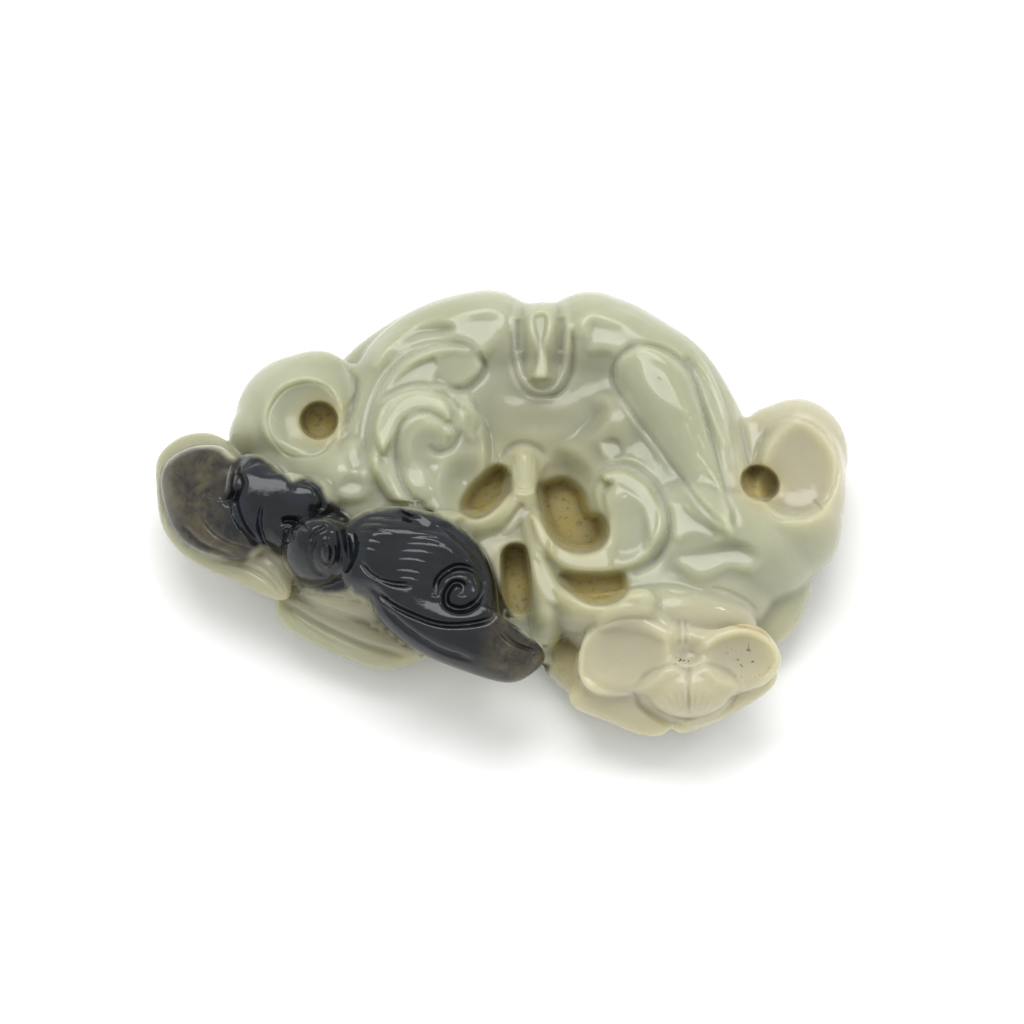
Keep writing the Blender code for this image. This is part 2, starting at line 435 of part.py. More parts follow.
def polish(skin):
    """Flats left by the polishing wheel: level ones catch the light, leaning ones stay dull."""
    for outline, lean, edge in ( ([(-6.8, 28.0), (-3.9, 28.5), (-0.3, 28.3), (-0.4, 26.6), (-1.2, 24.6),
                                   (-2.7, 22.7), (-4.0, 23.4), (-5.6, 24.9), (-7.2, 26.0)], 1, 2.4),
                                ([(-18.2, 21.1), (-17.5, 23.4), (-15.5, 25.4), (-12.9, 26.6), (-9.5, 27.2),
                                  (-7.4, 26.6), (-9.0, 25.6), (-11.7, 25.4), (-14.5, 24.1), (-16.8, 22.1)],
                                 1, 2.0), ([(12.6, 27.5), (15.0, 27.3), (17.3, 26.3), (18.5, 24.4),
                                            (17.3, 23.0), (14.7, 23.4), (12.7, 23.7)], 1, 2.4),
                                ([(-9.2, 22.3), (-6.8, 23.4), (-4.3, 22.8), (-2.7, 21.1), (-4.0, 19.2),
                                  (-6.4, 18.2), (-8.8, 18.6)], 15, 1.2), ([(-9.4, 22.0), (-9.8, 18.6),
                                                                           (-12.1, 18.8), (-14.9, 18.8),
                                                                           (-13.3, 20.8), (-11.3, 21.8)],
                                                                          1, 0.9), ([(-18.2, 11.6),
                                                                                     (-17.1, 14.7),
                                                                                     (-14.5, 16.8),
                                                                                     (-10.7, 17.1),
                                                                                     (-8.1, 15.3),
                                                                                     (-7.5, 13.6),
                                                                                     (-8.4, 13.3),
                                                                                     (-10.7, 14.3),
                                                                                     (-13.3, 14.0),
                                                                                     (-14.7, 12.3),
                                                                                     (-15.9, 10.3),
                                                                                     (-17.2, 8.7)], 1, 1.0),
                                ([(-6.8, 16.6), (-5.2, 16.8), (-4.2, 15.6), (-4.0, 14.3), (-5.2, 14.6),
                                  (-6.5, 15.2)], 0, 0.8), ([(-13.6, 5.8), (-12.1, 6.1), (-11.1, 4.9),
                                                            (-11.8, 3.8), (-13.2, 4.0)], 0, 0.8),
                                ([(-0.7, 16.8), (2.6, 15.8), (8.4, 15.8), (12.4, 17.1), (14.5, 14.5),
                                  (11.8, 11.0), (6.2, 9.5), (0.1, 10.4), (-2.0, 13.3)], 17, 3.0),
                                ([(13.9, 9.8), (15.0, 10.4), (16.6, 10.3), (17.3, 8.8), (16.9, 7.9),
                                  (14.7, 7.9)], 0, 0.8), ([(15.8, 3.2), (18.4, 2.9), (20.5, 0.3),
                                                           (21.1, -3.2), (19.9, -5.6), (17.1, -6.4),
                                                           (15.5, -4.8), (15.3, -0.9)], 14, 2.0),
                                ([(14.6, 5.6), (17.3, 6.1), (19.7, 4.6), (21.5, 2.6), (22.3, 0.3),
                                  (22.3, -2.0), (21.5, -3.6), (21.1, -2.7), (20.8, -0.1), (19.9, 1.6),
                                  (17.8, 3.3), (16.0, 4.2), (14.6, 4.6)], 1, 0.6), ([(7.4, -4.8),
                                                                                     (8.8, -5.5),
                                                                                     (10.7, -5.8),
                                                                                     (13.0, -5.8),
                                                                                     (14.7, -5.3),
                                                                                     (15.5, -6.5),
                                                                                     (15.3, -8.2),
                                                                                     (12.3, -8.5),
                                                                                     (9.5, -7.9),
                                                                                     (7.8, -6.9)], 1, 0.7),
                                ([(23.6, 1.3), (24.6, 1.6), (26.3, 0.3), (28.5, -1.3), (30.6, -2.7),
                                  (29.8, -3.5), (27.3, -2.9), (25.4, -3.9), (24.4, -3.0), (24.1, -0.9)],
                                 0, 0.8), ([(20.2, 20.5), (21.7, 20.4), (23.3, 18.9), (24.9, 17.1),
                                            (26.6, 14.9), (26.2, 14.0), (24.0, 15.6), (22.1, 17.1),
                                            (20.8, 18.6)], 1, 1.8), ([(26.4, 22.3), (28.3, 22.0),
                                                                      (30.1, 19.5), (31.1, 16.8),
                                                                      (32.1, 14.0), (32.5, 9.8),
                                                                      (31.5, 11.3), (30.1, 14.7),
                                                                      (28.6, 17.5), (27.3, 20.2)], 0, 1.6),
                                ([(28.3, 8.7), (29.2, 6.6), (30.9, 3.9), (32.5, 0.9), (32.8, -1.6),
                                  (33.7, -2.6), (34.7, -1.6), (33.7, 0.4), (31.9, 2.9), (30.2, 5.6)],
                                 0, 0.7), ([(24.9, -7.1), (27.9, -5.8), (32.7, -4.5), (35.3, -5.1),
                                            (36.8, -6.6), (35.5, -8.1), (32.7, -7.8), (29.8, -9.1),
                                            (27.7, -9.2)], 0, 2.0), ([(-22.4, 9.5), (-21.1, 10.3),
                                                                      (-19.9, 8.7), (-20.1, 6.1),
                                                                      (-21.7, 5.6), (-22.4, 7.5)], 0, 2.0),
                                ([(-23.4, 4.0), (-21.7, 5.1), (-19.9, 4.3), (-19.9, 2.3), (-22.0, 1.7),
                                  (-23.6, 2.5)], 0, 2.0), ([(4.5, 28.3), (6.4, 28.6), (6.5, 26.3),
                                                            (5.9, 24.1), (6.6, 22.0), (6.5, 19.5),
                                                            (4.6, 19.5), (5.1, 22.0), (5.2, 24.1),
                                                            (4.6, 26.3)], 1, 0.6), ([(-18.8, -2.3),
                                                                                     (-14.7, -1.7),
                                                                                     (-9.0, -3.3),
                                                                                     (-4.9, -6.9),
                                                                                     (-2.9, -11.3),
                                                                                     (-4.3, -14.5),
                                                                                     (-10.4, -13.9),
                                                                                     (-15.5, -11.3),
                                                                                     (-18.8, -8.7),
                                                                                     (-20.2, -5.2)],
                                                                                    17, 3.0),
                                ([(42.3, 13.6), (46.2, 11.8), (48.6, 8.1), (48.3, 3.5), (45.2, 0.1),
                                  (41.3, -0.4), (38.4, 1.3), (37.0, 4.9), (37.9, 9.8)], 19, 2.0),
                                ([(-28.5, 18.9), (-24.4, 17.6), (-23.0, 14.0), (-24.0, 10.4), (-27.5, 8.1),
                                  (-31.5, 9.0), (-34.0, 11.8), (-33.4, 16.2)], 5, 2.0), ([(2.7, 1.3),
                                                                                          (3.3, 0.0),
                                                                                          (1.9, -2.3),
                                                                                          (0.0, -3.3),
                                                                                          (0.7, -1.4)],
                                                                                         0, 0.6),
                                ([(4.2, -0.6), (5.1, -1.0), (6.8, -4.0), (6.5, -5.3), (5.1, -3.6)], 0, 0.6),
                                ([(4.2, -6.6), (5.3, -6.9), (7.2, -11.0), (8.1, -12.9), (6.4, -12.7),
                                  (4.9, -9.8)], 0, 0.6)):
        skin.facet(outline, lean, edge)


def hollows(skin):
    """The dished cups and petals, and the shallow oval under the tongue."""
    skin.spot((-28.5, 13.4), (5.5, 5.6), 0, 1.8, power=0.6)
    skin.spot((42.3, 6.6), (6.4, 7.2), 0, 2.4, power=0.6)
    skin.spot((5.5, 13.7), (5.2, 2.8), 0, 0.35, power=1.4)
    skin.spot((17.2, -20.8), (6.6, 5.0), 12, 2.0, power=0.9)
    skin.spot((34.1, -21.0), (5.4, 3.9), -8, 1.9, power=0.9)
    skin.spot((26.6, -19.9), (3.2, 2.4), 0, 1.4, power=1.3)
    skin.spot((-5.2, 4.0), (4.2, 5.2), -25, 2.6, power=2.0)
    skin.spot((9.4, 5.2), (4.0, 4.8), 20, 2.6, power=2.0)


def pockets(skin):
    """The four openings between the stems."""
    for outline, floor, edge in POCKETS:
        skin.sink(outline, floor, edge)


def drilled(skin):
    """The two round holes in the cups."""
    skin.spot((-26.4, 13.2), (DRILL, DRILL), 0, DRILL_DEEP, edge=0.2)
    skin.spot((37.1, 4.2), (DRILL * 1.05, DRILL * 0.9), -30, DRILL_DEEP, edge=0.2)


def scroll_lines(skin):
    """The bold cuts round the scrolls, the teardrop and the cups."""
    cut = skin.groove
    cut([(-3.9, 23.8), (-8.2, 24.4), (-12.6, 23.1), (-16.2, 20.2), (-18.6, 16.2), (-19.7, 11.8),
         (-19.8, 7.5), (-18.8, 3.5)], 0.6, 0.8, taper=0.3)
    cut([(-18.1, 11.8), (-15.8, 15.9), (-13.0, 17.5), (-9.2, 17.2), (-6.8, 15.8), (-5.8, 13.3)], 0.5, 0.8)
    cut([(-7.9, -1.2), (-10.8, 0.1), (-13.7, 3.0), (-15.0, 6.2), (-15.2, 9.8), (-14.2, 13.0), (-11.3, 14.3),
         (-8.1, 13.3), (-6.4, 11.4), (-7.2, 9.4), (-9.2, 8.7), (-10.7, 9.5)], 0.55, 1.0, taper=0.08)
    cut([(-3.5, 23.1), (-2.6, 21.0), (-4.0, 18.9), (-5.9, 17.9), (-7.9, 18.2)], 0.55, 0.9)
    cut([(-6.8, 16.8), (-4.3, 15.9), (-3.2, 13.6), (-3.8, 11.0)], 0.5, 0.7)
    cut([(31.8, -2.3), (28.6, 1.0), (25.4, 5.5), (21.7, 10.4), (18.5, 14.7), (16.2, 18.8), (16.6, 22.0),
         (19.5, 24.0), (23.7, 23.4), (27.2, 20.2), (28.8, 15.9), (30.2, 10.4), (31.8, 3.9), (33.1, -1.7)],
        0.5, 0.9, taper=0.05)
    cut([(27.5, 21.7), (30.3, 17.3), (32.1, 11.8), (33.2, 6.1)], 0.6, 0.6)
    cut([(13.9, 6.1), (17.9, 6.9), (21.4, 4.6), (23.7, 0.3), (23.8, -3.8), (21.8, -6.9), (18.5, -8.8)], 0.6,
        1.0)
    cut([(-22.7, 21.7), (-21.0, 18.4), (-21.7, 15.0), (-23.1, 11.8)], 0.6, 1.0)
    cut([(34.0, 15.9), (35.0, 10.4), (35.8, 6.1), (36.8, 1.4)], 0.6, 0.8)


def tongue_lines(skin):
    cut = skin.groove
    cut([(1.4, 26.3), (1.6, 22.0), (2.2, 19.1), (3.8, 17.3), (5.8, 16.8), (8.1, 17.3), (9.8, 19.4),
         (10.3, 22.7), (10.1, 26.3)], 0.4, 0.7, taper=0.05)
    cut([(3.0, 23.1), (3.3, 20.2), (4.5, 18.5), (5.9, 17.9), (7.7, 18.8), (8.4, 21.1), (8.5, 23.4)], 0.35,
        0.5)
    cut([(2.3, 28.0), (2.3, 25.7), (2.3, 23.1)], 0.5, 0.8, taper=0.1)
    cut([(8.7, 28.3), (8.7, 25.7), (8.5, 23.1)], 0.5, 0.8, taper=0.1)
    cut([(0.1, 7.1), (0.9, 9.0), (3.0, 9.8), (5.5, 9.0), (6.5, 7.1)], 0.5, 0.7)


def flower_lines(skin):
    cut = skin.groove
    cut([(14.9, -26.0), (18.5, -25.7), (19.9, -27.7), (22.8, -29.8), (26.6, -30.8)], 0.5, 0.7, taper=0.1)
    cut([(26.6, -30.8), (30.1, -29.9), (32.9, -27.6), (34.1, -25.4), (38.0, -24.3)], 0.5, 0.7, taper=0.1)
    cut([(26.6, -22.0), (26.6, -25.4), (26.7, -29.5)], 0.32, 0.45)
    cut([(18.8, -25.4), (20.8, -23.1), (24.0, -21.8), (26.6, -22.5), (29.5, -21.7), (32.7, -23.1),
         (34.1, -25.1)], 0.4, 0.55)


def bat_lines(skin):
    """The scallops, folds and curl of the wings, and the face."""
    cut = skin.groove
    cut([(-36.6, 8.7), (-37.9, 6.4), (-38.4, 3.2), (-37.9, 0.0), (-36.7, -2.6), (-34.7, -4.8)], 0.55, 0.9,
        taper=0.1)
    cut([(-37.7, 5.6), (-37.4, 3.9), (-38.4, 2.2), (-40.0, 1.3)], 0.5, 0.9, taper=0.2)
    cut([(-29.8, 4.0), (-28.3, 4.3), (-26.6, 3.3), (-25.7, 1.4), (-26.6, -0.6)], 0.4, 0.6)
    cut([(-31.6, -1.3), (-29.8, -1.3), (-27.6, -2.6)], 0.4, 0.8)
    cut([(-26.3, -3.3), (-27.2, -5.8), (-26.6, -8.1), (-24.9, -9.2)], 0.4, 0.6)
    cut([(-22.7, -2.6), (-22.0, -4.5), (-21.8, -6.9), (-22.3, -8.7)], 0.4, 0.6)
    cut([(-20.4, -6.9), (-18.4, -9.0), (-15.8, -10.1), (-12.6, -10.4)], 0.4, 0.6)
    cut([(-18.8, -10.5), (-15.9, -13.0), (-12.6, -14.7), (-9.0, -15.9), (-5.3, -16.0), (-2.0, -15.3),
         (-0.9, -13.9)], 0.45, 0.8)
    cut([(-17.1, -13.2), (-13.7, -16.5), (-9.0, -19.5), (-3.9, -21.2)], 0.4, 0.6)
    cut([(-9.5, -12.1), (-9.0, -9.5), (-6.5, -7.8), (-4.0, -8.4), (-2.7, -10.4), (-3.5, -12.7),
         (-5.6, -13.9), (-7.7, -13.3), (-7.9, -11.6), (-6.8, -10.1), (-5.5, -10.5), (-5.8, -12.0)], 0.5,
        0.9, taper=0.08)
    cut([(-0.3, -16.5), (1.2, -18.2), (3.2, -19.4), (5.2, -19.9)], 0.4, 0.45)
    for x, y, rx, ry in ((-30.8, -3.2, 0.75, 1.1), (-25.0, -5.8, 0.85, 1.5)):
        skin.spot((x, y), (rx * 1.6, ry * 1.5), 0, -0.9, power=0.8)
        turns = np.linspace(0, 2 * math.pi, 9)
        cut([(x + rx * math.cos(a), y + ry * math.sin(a)) for a in turns], 0.28, 0.5, taper=0)


def leaf_lines(skin):
    cut = skin.groove
    cut([(-31.1, -12.3), (-33.5, -9.8), (-37.1, -7.8), (-41.5, -6.9)], 0.35, 0.5)
    cut([(-31.8, -12.7), (-28.5, -14.9), (-24.1, -17.3), (-19.1, -19.4), (-13.6, -20.8)], 0.5, 0.8)
    cut([(-30.6, -11.6), (-27.0, -13.3), (-22.7, -14.7), (-17.6, -16.8), (-13.3, -19.1)], 0.35, 0.4)


def underside(mesh):
    """Rounds the unseen side off like the pebble it was, with three shallow growth rings."""
    co = places(mesh)
    away = np.hypot((co[:, 0] - BELLY[0]) / 46, (co[:, 1] - BELLY[1]) / 30)
    floor = BELLY_DEPTH + BELLY_RISE * np.clip(away, 0, 1) ** 2.4
    for ring in (0.52, 0.68, 0.84):
        floor += 0.5 * np.exp(-((away - ring) / 0.022) ** 2)
    co[:, 2] = np.where(co[:, 2] < floor, floor, co[:, 2])
    move(mesh, co)
    return mesh


def gather(masses, ground=None):
    """One mesh of several masses, on the ground's where there is one."""
    bm = bmesh.new()
    for mass in masses:
        mass(bm)
    bmesh.ops.recalc_face_normals(bm, faces=bm.faces)
    if ground:
        bm.from_mesh(ground)
        bpy.data.meshes.remove(ground)
    mesh = bpy.data.meshes.new("jade carving")
    bm.to_mesh(mesh)
    bm.free()
    return mesh


def carve(grain):
    """The carving with its bold cuts, in hundredths of its length."""
    pebble = remesh(gather((core, humps, scrolls, cups)), grain * 1.5, 4.0)
    mesh = gather((stems, bat, leaves, skirt, flower), pebble)
    mesh = underside(remesh(mesh, grain, 1.0))
    skin = Skin(mesh)
    for relief in (bowl, scroll_relief, middle_relief, petal_relief, polish, hollows):
        relief(skin)
    skin.done()
    skin = Skin(mesh)
    pockets(skin)
    drilled(skin)
    mesh = remesh(skin.done(), grain, 0.4)
    skin = Skin(mesh)
    for lines in (scroll_lines, tongue_lines, flower_lines, bat_lines, leaf_lines):
        lines(skin)
    return skin.done()


def fewer(mesh, count):
    """The same form in about count triangles."""
    holder = bpy.data.objects.new("dense", mesh)
    bpy.context.scene.collection.objects.link(holder)
    mesh.calc_loop_triangles()
    thin = holder.modifiers.new("thin", "DECIMATE")
    thin.ratio = count / len(mesh.loop_triangles)
    thin.use_collapse_triangulate = True
    evaluated = holder.evaluated_get(bpy.context.evaluated_depsgraph_get())
    result = bpy.data.meshes.new_from_object(evaluated)
    bpy.data.objects.remove(holder)
    bpy.data.meshes.remove(mesh)
    return result


def stand(mesh):
    """Cuts the resting face flat, puts the origin under the middle of the box and sets the real size."""
    bm = bmesh.new()
    bm.from_mesh(mesh)
    level = min(v.co.z for v in bm.verts) + FLAT_DEPTH / UNIT
    cut = bmesh.ops.bisect_plane(bm, geom=bm.verts[:] + bm.edges[:] + bm.faces[:], dist=1e-4,
                                 plane_co=(0, 0, level), plane_no=(0, 0, 1), clear_inner=True)
    rim = [item for item in cut["geom_cut"] if isinstance(item, bmesh.types.BMEdge)]
    bmesh.ops.holes_fill(bm, edges=rim)
    bmesh.ops.triangulate(bm, faces=[face for face in bm.faces if len(face.verts) > 3])
    bmesh.ops.recalc_face_normals(bm, faces=bm.faces)
    bm.to_mesh(mesh)
    bm.free()
    co = places(mesh)
    low, high = co.min(0), co.max(0)
    co -= ((low[0] + high[0]) / 2, (low[1] + high[1]) / 2, low[2])
    move(mesh, co * UNIT)
    return mesh


def jade():
    """Pale, waxy and a little see-through."""
    material = bpy.data.materials.new("celadon jade")
    material.use_nodes = True
    shader = material.node_tree.nodes["Principled BSDF"]
    shader.inputs["Base Color"].default_value = (0.55, 0.62, 0.46, 1)
    shader.inputs["Roughness"].default_value = 0.2
    shader.inputs["Metallic"].default_value = 0
    return material


def build():
    for item in list(bpy.data.objects):
        bpy.data.objects.remove(item)
    mesh = stand(fewer(carve(GRAIN / UNIT), TRIANGLES))
    mesh.materials.append(jade())
    mesh.shade_smooth()
    carving = bpy.data.objects.new("jade_carving", mesh)
    group = bpy.data.collections.new("Jade carving")
    bpy.context.scene.collection.children.link(group)
    group.objects.link(carving)


build()
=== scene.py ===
"""Looks of the jade carving: the finely worked surface, its jade and dark skin, and the studio."""

import math

import bmesh
import bpy
import numpy as np
from mathutils import Matrix, Quaternion, Vector


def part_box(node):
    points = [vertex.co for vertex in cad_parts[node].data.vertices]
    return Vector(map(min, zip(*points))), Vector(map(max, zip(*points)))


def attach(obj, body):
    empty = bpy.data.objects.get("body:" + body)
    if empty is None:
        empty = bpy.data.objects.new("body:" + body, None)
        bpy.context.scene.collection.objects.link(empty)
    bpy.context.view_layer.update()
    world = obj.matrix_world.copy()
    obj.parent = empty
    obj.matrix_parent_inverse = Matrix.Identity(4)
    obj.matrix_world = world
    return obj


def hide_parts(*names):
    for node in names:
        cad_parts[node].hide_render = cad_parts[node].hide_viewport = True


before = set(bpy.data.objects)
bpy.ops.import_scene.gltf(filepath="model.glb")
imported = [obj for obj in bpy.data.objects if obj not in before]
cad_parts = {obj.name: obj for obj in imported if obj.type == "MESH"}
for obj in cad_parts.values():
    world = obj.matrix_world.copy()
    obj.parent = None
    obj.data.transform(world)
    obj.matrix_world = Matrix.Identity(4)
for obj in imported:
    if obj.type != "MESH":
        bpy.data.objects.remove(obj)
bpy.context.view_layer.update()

# Driving sizes, in metres, as the solid has them
LENGTH = 0.070
DRILL_RADIUS = 0.00165
DRILL_DEPTH = 0.0030
FLAT_DEPTH = 0.0008
GRAIN = 0.00014
TRIANGLES = 196000

# The masses and cuts are free form, in hundredths of the length. Their x and y lie in the plane that
# faces the raised front view, and z is the height above the table.
UNIT = LENGTH / 100
RISE = math.radians(65)
SIN = math.sin(RISE)
COS = math.cos(RISE)
TOWARDS = np.array((0, -COS, SIN))
DRILL = DRILL_RADIUS / UNIT
DRILL_DEEP = DRILL_DEPTH / UNIT
BELLY = (2.0, -8.0)
BELLY_DEPTH = 1.5
BELLY_RISE = 6

# The studio, in metres
CAMERA_AWAY = 1.0
VIEW_WIDTH = 0.1036
AIM = (1.445, 0.0, 12.0)
SENSOR = 36
TABLE = 8
SURROUND = 0.92
# Name, place, size both ways, and power in watts
LIGHTS = (
    ("overhead", (-0.05, 0.34, 0.80), 0.62, 0.42, 4.1),
    ("side", (0.62, 0.25, 0.55), 0.12, 0.12, 0.5),
)


# Each pocket's outline, the height of its floor and the width of its wall
POCKETS = (
    ([(-5.5, 0.6), (-4.9, 2.6), (-3.2, 4.6), (-0.7, 6.4), (0.6, 5.5), (0.1, 2.9), (-1.3, 0.9),
     (-3.5, -0.4)], 13.5, 1.8),
    ([(5.5, 2.9), (6.8, 4.3), (9.2, 4.6), (11.3, 2.9), (12.4, 0.0), (14.2, -1.0), (14.7, -3.3),
     (13.0, -5.1), (9.8, -5.1), (7.2, -3.0)], 12, 1.8),
    ([(0.1, -6.4), (1.0, -4.9), (2.9, -4.9), (3.6, -6.9), (4.0, -12.7), (3.0, -14.6), (1.4, -14.2),
     (0.3, -11.3)], 14, 1.0),
    ([(8.5, -9.1), (11.3, -9.0), (15.0, -9.1), (17.2, -9.0), (17.5, -11.3), (15.0, -12.9), (11.6, -12.4)],
     17.5, 1.6),
)


def seen(point):
    """The place at height z that shows at (x, y) when the carving is looked at from RISE."""
    x, y, z = point
    return Vector((x, (y - z * COS) / SIN, z))


def spline(points, steps=6, closed=False):
    """A smooth curve (Catmull-Rom) through the points."""
    p = np.array(points, float)
    if closed:
        q = np.vstack([p[-1:], p, p[:2]])
    else:
        q = np.vstack([2 * p[0] - p[1], p, 2 * p[-1] - p[-2]])
    t = (np.arange(steps) / steps)[:, None]
    curve = []
    for a, b, c, d in zip(q, q[1:], q[2:], q[3:]):
        curve.append(0.5 * (2 * b + (c - a) * t
                            + (2 * a - 5 * b + 4 * c - d) * t ** 2 + (3 * b - a - 3 * c + d) * t ** 3))
    if not closed:
        curve.append(p[-1:])
    return np.vstack(curve)


def loft(bm, rings):
    """A closed skin over rings of equally many points."""
    rows = [[bm.verts.new(p) for p in ring] for ring in rings]
    for lower, upper in zip(rows, rows[1:]):
        for j in range(len(lower)):
            bm.faces.new((lower[j - 1], lower[j], upper[j], upper[j - 1]))
    bm.faces.new(rows[0])
    bm.faces.new(rows[-1])


def ball(bm, at, radii, turn=0.0):
    """An ellipsoid with its centre at the place, turned about the vertical."""
    place = Matrix.LocRotScale(seen(at), Quaternion((0, 0, 1), math.radians(turn)), Vector(radii))
    bmesh.ops.create_uvsphere(bm, u_segments=24, v_segments=16, radius=1.0, matrix=place)


def ridge(bm, path, tall=1.0, around=20):
    """A rounded roll along (x, y, z, radius) points, its section taller than wide by the ratio tall."""
    p = spline(path)
    centres = np.array([seen(q[:3]) for q in p])
    ways = np.gradient(centres, axis=0)
    ways /= np.linalg.norm(ways, axis=1)[:, None]
    stations = list(zip(centres, p[:, 3], ways))
    caps = np.radians((80, 60, 40, 20))
    start, end = stations[0], stations[-1]
    first = [(start[0] - start[2] * start[1] * math.sin(a), start[1] * math.cos(a), start[2]) for a in caps]
    last = [(end[0] + end[2] * end[1] * math.sin(a), end[1] * math.cos(a), end[2]) for a in caps[::-1]]
    a = np.linspace(0, 2 * math.pi, around, endpoint=False)[:, None]
    up = np.array((0, 0, 1))
    rings = []
    for centre, radius, way in first + stations + last:
        side = np.cross(up, way)
        side /= np.linalg.norm(side)
        rings.append(centre + radius * (np.cos(a) * side + tall * np.sin(a) * up))
    loft(bm, rings)


def pad(bm, outline, z, thick, rim, lean=(0.0, 0.0), under=None):
    """A cushion inside an outline; z is its mid height, lean its slope and rim the roundness of its edge."""
    o = spline(outline, 5, closed=True)
    mid = o.mean(0)
    reach = np.linalg.norm(o - mid, axis=1).mean()
    insets = (0.0, 0.02, 0.06, 0.12, 0.2, 0.3, 0.45, 0.6, 0.8, 0.95)
    levels = [(t, thick if under is None else under, -1) for t in insets[:0:-1]]
    levels += [(t, thick, 1) for t in insets]
    rings = []
    for inset, full, way in levels:
        curl = rim - min(inset * reach, rim)
        rise = math.sqrt(rim ** 2 - curl ** 2) + (full - rim) * (1 - (1 - inset) ** 2)
        q = mid + (o - mid) * (1 - inset)
        level = z + (q - mid) @ lean
        rings.append([seen((x, y, w)) + Vector((0, 0, way * rise)) for (x, y), w in zip(q, level)])
    loft(bm, rings)


def core(bm):
    """The body of the pebble and the smooth swellings that carry the relief."""
    outline = [(-37.9, 10.4), (-34.7, 16.5), (-26.6, 20.2), (-22.0, 19.8), (-14.7, 24.1), (-3.2, 27.0),
        (5.5, 26.3), (12.7, 26.6), (21.4, 24.1), (29.3, 18.4), (35.5, 11.8), (42.5, 11.3), (45.1, 6.9),
        (44.5, 0.6), (40.8, -4.9), (35.0, -11.0), (28.6, -18.5), (14.2, -18.5), (4.0, -17.1),
        (-10.4, -12.7), (-24.9, -6.9), (-36.4, 0.3)]
    pad(bm, outline, 12.0, 9.2, rim=6.5, under=11.0)
    ball(bm, (5.6, 14.7, 12), (9, 9, 9.6))
    ball(bm, (34.0, -5.5, 13), (11.8, 8.8, 10.6))
    ball(bm, (41.0, -1.7, 13.5), (8.2, 8.4, 10.2))
    ball(bm, (27.5, -4.8, 12), (13.0, 10.0, 11.0))
    ball(bm, (-24.1, 3.9, 12), (10, 8, 9.0))
    ball(bm, (-21.7, 2.3, 12), (9, 7, 10.2))
    ball(bm, (28.6, -11.8, 12), (10.6, 7, 8.2))


def humps(bm):
    """The rolled shoulders at the top, with the tongue's root between them."""
    ridge(bm, [(-1.9, 23.7, 14, 8.2), (-6.6, 23.1, 14, 7.8), (-10.8, 21.8, 14, 7.3),
        (-14.6, 19.4, 14, 6.6), (-17.3, 15.9, 14, 5.7), (-19.7, 11.0, 14, 5.2), (-20.5, 5.5, 14, 5.0)],
        tall=1.32)
    ridge(bm, [(12.7, 23.4, 14, 8.2), (16.9, 22.3, 14, 7.7), (20.8, 20.5, 14, 7.2), (24.4, 18.4, 14, 6.8),
        (27.5, 15.0, 14, 6.1), (29.9, 10.7, 14, 5.7), (31.6, 5.8, 14, 5.2), (33.7, 1.0, 14, 5.6)],
        tall=1.36)
    ball(bm, (5.8, 23.4, 14), (6.4, 6.6, 9.4))
    ridge(bm, [(-22.4, 19.4, 11, 2.3), (-19.9, 21.7, 11, 2.5), (-15.8, 24.6, 11, 2.6),
        (-11.1, 27.0, 11, 2.7), (-6.4, 28.0, 11, 2.2)], tall=1.6)


def scrolls(bm):
    """Low domes under the two scrolls and the teardrop."""
    ball(bm, (-11.0, 9.0, 12), (9.8, 10.6, 12.0))
    ball(bm, (16.8, 0.0, 12), (9.4, 9.2, 11.0))
    ball(bm, (15.0, 9.2, 12), (9.4, 8.6, 10.8))
    ridge(bm, [(20.8, 18.5, 13, 7.0), (23.4, 14.0, 13, 7.2), (26.3, 8.7, 13, 6.6), (29.2, 2.6, 13, 5.8),
        (31.5, -2.6, 13, 5.4)], tall=1.5)


def cups(bm):
    """The two curled lobes at the sides."""
    ball(bm, (42.6, 8.1, 13), (7.6, 8.2, 9.4))
    ridge(bm, [(38.4, 11.0, 14, 3.6), (41.3, 12.0, 14, 3.3), (43.9, 10.4, 14, 3.6), (45.4, 6.6, 14, 4.0),
        (45.2, 1.4, 14, 4.4), (42.8, -3.5, 13.5, 4.8)], tall=1.75)
    ball(bm, (-28.8, 13.0, 13), (10.0, 10.0, 9.6))
    ridge(bm, [(-35.0, 10.7, 13, 4.7), (-32.7, 14.3, 13, 4.8), (-29.6, 17.1, 14, 4.9),
        (-26.3, 18.5, 14, 4.6), (-23.7, 18.2, 14, 3.6)], tall=1.5)


def stems(bm):
    """The bundle at the middle, which parts round the pockets."""
    ridge(bm, [(3.2, 7.2, 17, 2.9), (3.3, 4.3, 18, 2.8), (3.3, 1.0, 19, 2.8)], tall=1.8)
    ridge(bm, [(3.2, 1.0, 18.5, 2.4), (0.1, -1.3, 18.5, 2.3), (-4.3, -2.6, 18.5, 2.2),
        (-9.0, -3.5, 17, 3)], tall=2.2)
    ridge(bm, [(3.5, 1.0, 18, 2.0), (5.1, -3.0, 17.5, 2.0), (8.1, -6.4, 17, 2.2), (12.7, -7.1, 16, 2.3),
        (17.1, -6.9, 14, 2.3)], tall=2.2)
    ridge(bm, [(3.3, 0.0, 17.5, 2.2), (4.6, -5.5, 17, 2.0), (5.6, -11.3, 16.5, 2.1),
        (6.4, -16.3, 15, 2.4)], tall=2.3)
    ridge(bm, [(5.6, -9.1, 16.5, 2.0), (7.7, -13.0, 16.5, 2.1), (12.0, -15.2, 16.5, 2.6),
        (19.9, -14.7, 17, 3)], tall=2.3)
    ridge(bm, [(5.5, -15.6, 8, 4), (8.7, -20.7, 7.5, 3.4), (13.0, -22.8, 9.5, 5)])


